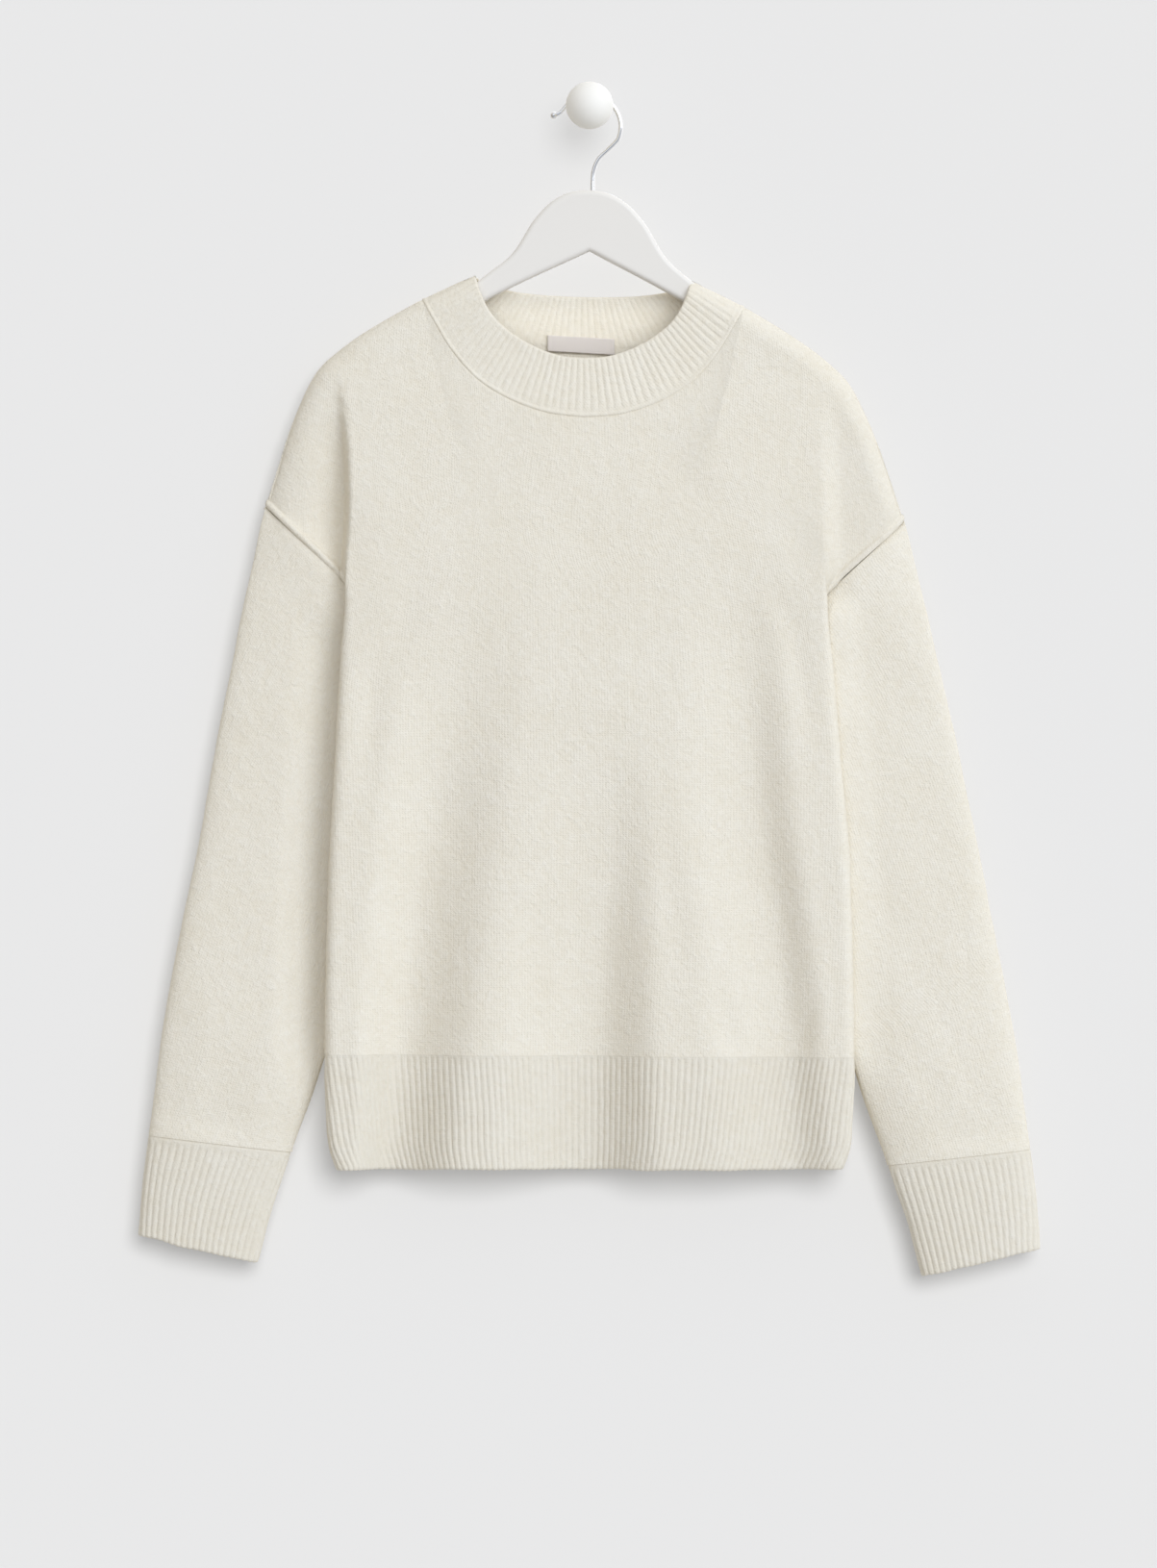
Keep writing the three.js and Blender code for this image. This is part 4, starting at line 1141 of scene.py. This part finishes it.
def makeFuzzGroup():
    # fibres scattered over the cloth where it is seen edge-on from the front or the back
    s = fuzzSettings
    group, given, result = makeGroup(
        "woolFuzz", "GeometryNodeTree",
        {
            "Geometry": "Geometry", "Density": "Float", "Seed": "Int", "Edge On": "Float", "Tilt": "Float",
            "Fibre": "Object", "Material": "Material",
        },
        {"Geometry": "Geometry"},
    )
    normal = addNode(group, "GeometryNodeInputNormal").outputs[0]
    facing = calc("ABSOLUTE", addNode(group, "ShaderNodeSeparateXYZ", Vector=normal).outputs["Y"])
    edgeOn = addNode(group, "FunctionNodeCompare", operation="LESS_THAN", A=facing, B=given["Edge On"])
    scatter = addNode(
        group, "GeometryNodeDistributePointsOnFaces", Mesh=given["Geometry"], Density=given["Density"],
        Selection=edgeOn.outputs["Result"], Seed=given["Seed"],
    ).outputs
    reach = addNode(group, "ShaderNodeCombineXYZ", X=given["Tilt"], Y=given["Tilt"], Z=math.pi).outputs[0]
    back = addNode(group, "ShaderNodeVectorMath", operation="SCALE", Vector=reach, Scale=-1.0).outputs[0]
    turn = addNode(
        group, "FunctionNodeRandomValue", data_type="FLOAT_VECTOR", Min=back, Max=reach, Seed=given["Seed"],
    )
    turned = addNode(
        group, "FunctionNodeRotateRotation", rotation_space="LOCAL", Rotation=scatter["Rotation"],
        Rotate_By=turn.outputs["Value"],
    )
    size = addNode(group, "FunctionNodeRandomValue", Min=s["smallest"], Max=s["largest"])
    fibre = addNode(group, "GeometryNodeObjectInfo", Object=given["Fibre"])
    place = addNode(
        group, "GeometryNodeInstanceOnPoints", Points=scatter["Points"], Instance=fibre.outputs["Geometry"],
        Rotation=turned.outputs["Rotation"], Scale=size.outputs["Value"],
    )
    real = addNode(group, "GeometryNodeRealizeInstances", Geometry=place.outputs["Instances"])
    paint = addNode(
        group, "GeometryNodeSetMaterial", Geometry=real.outputs["Geometry"], Material=given["Material"],
    )
    setNode(result, Geometry=paint.outputs["Geometry"])
    return group


def makeFuzzCloth():
    material, _, shader = newMaterial("woolFuzz")
    setNode(shader, Base_Color=(*clothLooks["base"], 1), Roughness=clothLooks["roughness"])
    return material


def outerFace(piece):
    # the outer side of a cloth piece alone: the first half of its points
    mesh = piece.data
    half = len(mesh.vertices) // 2
    points = np.empty(len(mesh.vertices) * 3)
    mesh.vertices.foreach_get("co", points)
    faces = np.empty(len(mesh.loops), dtype=int)
    mesh.loops.foreach_get("vertex_index", faces)
    faces = faces.reshape(-1, 4)
    faces = faces[(faces < half).all(axis=1)]
    outer = bpy.data.meshes.new(piece.name + "Fuzz")
    outer.from_pydata(points.reshape(-1, 3)[:half].tolist(), [], faces.tolist())
    outer.polygons.foreach_set("use_smooth", np.ones(len(faces), dtype=bool))
    outer.update()
    return outer


def makeFuzz(piece, slotName, seed):
    s = fuzzSettings
    host = newPiece(piece.name + "Fuzz", outerFace(piece))
    modifier = host.modifiers.new("wool", "NODES")
    modifier.node_group = fuzzGroup
    values = {
        "Density": s["density"][slotName], "Seed": seed, "Edge On": s["edgeOn"], "Tilt": s["tilt"],
        "Fibre": woolFibre, "Material": woolFuzz,
    }
    for item in fuzzGroup.interface.items_tree:
        if item.name in values:
            modifier[item.identifier] = values[item.name]
    host.update_tag()
    bpy.context.view_layer.update()
    made = bpy.data.meshes.new_from_object(host.evaluated_get(bpy.context.evaluated_depsgraph_get()))
    host.modifiers.clear()
    host.data = made
    carry(host)
    print(host.name, len(made.polygons) * 2)


fuzzGroup = makeFuzzGroup()
woolFibre = makeFibre()
woolFuzz = makeFuzzCloth()
brushed = [(piece, "knit") for piece in (bodyFront, bodyBack, *sleeves)]
brushed += [(piece, "rib") for piece in (neckband, *cuffs)]
for index, (piece, slotName) in enumerate(brushed):
    makeFuzz(piece, slotName, fuzzSettings["seed"] + index)
print("fuzz made")

hangerWood = makeHanger()
hangerHook = makeHook()
wallKnob = makeKnob()
print("hanger, hook and knob made")

wallSettings = {
    "half": 3.0, "low": -2.2, "high": 2.2, "base": (0.22, 0.222, 0.222), "roughness": 0.9, "specular": 0.1,
    "glow": (1.0, 0.985, 0.96), "glowStrength": 0.30,
}


def makeWall():
    # a matt wall that is seen from the front alone, and lets light pass from behind it
    s = wallSettings
    material, tree, shader = newMaterial("wallPaint")
    setNode(
        shader, Base_Color=(*s["base"], 1), Roughness=s["roughness"], Specular_IOR_Level=s["specular"],
        Emission_Color=(*s["glow"], 1), Emission_Strength=s["glowStrength"],
    )
    behind = addNode(tree, "ShaderNodeNewGeometry").outputs["Backfacing"]
    clear = addNode(tree, "ShaderNodeBsdfTransparent").outputs["BSDF"]
    mixShaders(tree, behind, shader.outputs["BSDF"], clear, "Material Output")
    half, low, high = s["half"], s["low"], s["high"]
    mesh = bpy.data.meshes.new("wall")
    mesh.from_pydata([(-half, 0, low), (half, 0, low), (half, 0, high), (-half, 0, high)], [], [(0, 1, 2, 3)])
    mesh.update()
    mesh.materials.append(material)
    plane = newPiece("wall", mesh)
    return plane


wall = makeWall()

# the key, the fill and the rear light the garment; the wall has a nearly frontal light of its own, in
# two parts, which keeps the shadows on it short. Each comes from so far off that it is even all over.
daylight, wallLight = (0.92, 0.985, 1.12), (1.0, 0.99, 0.99)
washSettings = {"right": 10.0, "up": 14.0, "spread": 27.0, "colour": wallLight, "onWall": True}
hanger = (hangerWood, hangerHook)
lightSettings = {
    "key": {"right": 40.0, "up": 26.0, "spread": 36.0, "strength": 1.10, "colour": daylight},
    "fill": {"right": -10.0, "up": 14.0, "spread": 50.0, "strength": 0.45, "colour": daylight},
    "rear": {
        "right": 20.0, "up": 20.0, "spread": 60.0, "strength": 1.1, "colour": daylight, "front": 1.0,
        "passes": (wall,),
    },
    "wallWash": {**washSettings, "strength": 2.0, "passes": hanger},
    "softWash": {**washSettings, "strength": 3.6, "passes": (*hanger, wallKnob)},
}


def linkPieces(name, pieces, state="INCLUDE"):
    linked = bpy.data.collections.new(name)
    for piece in pieces:
        linked.objects.link(piece)
    for spot in linked.collection_objects:
        spot.light_linking.link_state = state
    return linked


def makeLight(name, right, up, spread, strength, colour, front=-1.0, onWall=False, passes=()):
    # right and up are in degrees, away from straight at the wall; the light goes through what it passes
    data = bpy.data.lights.new(name, "SUN")
    data.angle = math.radians(spread)
    data.energy = strength
    data.color = colour
    light = newPiece(name, data)
    light.location = (math.tan(math.radians(right)), front, math.tan(math.radians(up)))
    light.rotation_euler = (-light.location).to_track_quat("-Z", "Y").to_euler()
    linking = light.light_linking
    linking.receiver_collection = linkPieces(name + "Lights", [wall], "INCLUDE" if onWall else "EXCLUDE")
    if passes:
        linking.blocker_collection = linkPieces(name + "Passes", passes, "EXCLUDE")


# daylight that comes through the front of the neckband and brightens its back
glowSettings = {
    "at": (-0.006, -0.034, -0.150), "towards": (0, 1, -0.25), "wide": 0.13, "high": 0.022, "watts": 0.0031,
}


def makeCollarGlow():
    s = glowSettings
    data = bpy.data.lights.new("collarGlow", "AREA")
    data.shape = "RECTANGLE"
    data.size, data.size_y = s["wide"], s["high"]
    data.energy = s["watts"]
    light = newPiece("collarGlow", data)
    light.location = s["at"]
    light.rotation_euler = Vector(s["towards"]).to_track_quat("-Z", "Z").to_euler()
    light.visible_camera = False
    light.visible_glossy = False
    light.light_linking.receiver_collection = linkPieces("collarGlowLights", [neckband, neckLabel, bodyBack])
    light.light_linking.blocker_collection = linkPieces("collarGlowPasses", [hangerWood], "EXCLUDE")


worldSettings = {
    "low": (0.60, 0.63, 0.695), "lowAt": 0.3, "high": (0.834, 0.884, 0.985), "highAt": 0.8, "strength": 1.01,
    "left": (0.50, 0.44, 0.36), "leftFade": (-1.0, 0.3), "seen": (0.81, 0.81, 0.81),
    "darkBehind": 0.9, "behindFade": (-0.98, -0.74),
}


def fadeNode(value, full, none):
    # 1 below full, falling to 0 above none
    node = addNode(
        value.id_data, "ShaderNodeMapRange", interpolation_type="SMOOTHSTEP", Value=value,
        From_Min=full, From_Max=none, To_Min=1.0, To_Max=0.0,
    )
    return node.outputs["Result"]


def makeWorld():
    # a pale room, darker and warmer to the left, that looks even where the camera sees it
    s = worldSettings
    world = bpy.data.worlds.new("softRoom")
    world.use_nodes = True
    tree = world.node_tree
    place = addNode(tree, "ShaderNodeTexCoord").outputs["Generated"]
    split = addNode(tree, "ShaderNodeSeparateXYZ", Vector=place).outputs
    ramp = addNode(tree, "ShaderNodeValToRGB", Fac=calc("MULTIPLY_ADD", split["Z"], 0.5, 0.5))
    for spot, key in zip(ramp.color_ramp.elements, ("low", "high")):
        spot.position, spot.color = s[key + "At"], (*s[key], 1)
    room = addNode(
        tree, "ShaderNodeMix", data_type="RGBA", blend_type="MULTIPLY", A=ramp.outputs["Color"],
        B=(*s["left"], 1), Factor=fadeNode(split["X"], *s["leftFade"]),
    )
    # a mirror sees a darker room behind the camera
    path = addNode(tree, "ShaderNodeLightPath").outputs
    mirrored = calc("MULTIPLY", fadeNode(split["Y"], *s["behindFade"]), path["Is Glossy Ray"])
    strength = calc("MULTIPLY_ADD", mirrored, -s["strength"] * s["darkBehind"], s["strength"])
    lit = setNode(tree.nodes["Background"], Color=room.outputs["Result"], Strength=strength)
    plain = addNode(tree, "ShaderNodeBackground", Color=(*s["seen"], 1))
    mixShaders(tree, path["Is Camera Ray"], lit.outputs[0], plain.outputs[0], "World Output")
    bpy.context.scene.world = world


for lightName, settings in lightSettings.items():
    makeLight(lightName, **settings)
makeCollarGlow()
makeWorld()

cameraSettings = {
    "aim": (-0.0077, 0.0, -0.472), "away": 5.0, "garmentOut": 0.045, "high": 1.092, "sensor": 36, "reach": 30,
}


def makeCamera():
    s = cameraSettings
    data = bpy.data.cameras.new("front")
    data.sensor_width = s["sensor"]
    data.lens = s["sensor"] * (s["away"] - s["garmentOut"]) / s["high"]
    data.clip_end = s["reach"]
    camera = newPiece("front", data)
    camera.location = (s["aim"][0], -s["away"], s["aim"][2])
    camera.rotation_euler = (math.radians(90), 0, 0)
    bpy.context.scene.camera = camera


makeCamera()
bpy.context.scene.view_settings.view_transform = "Standard"
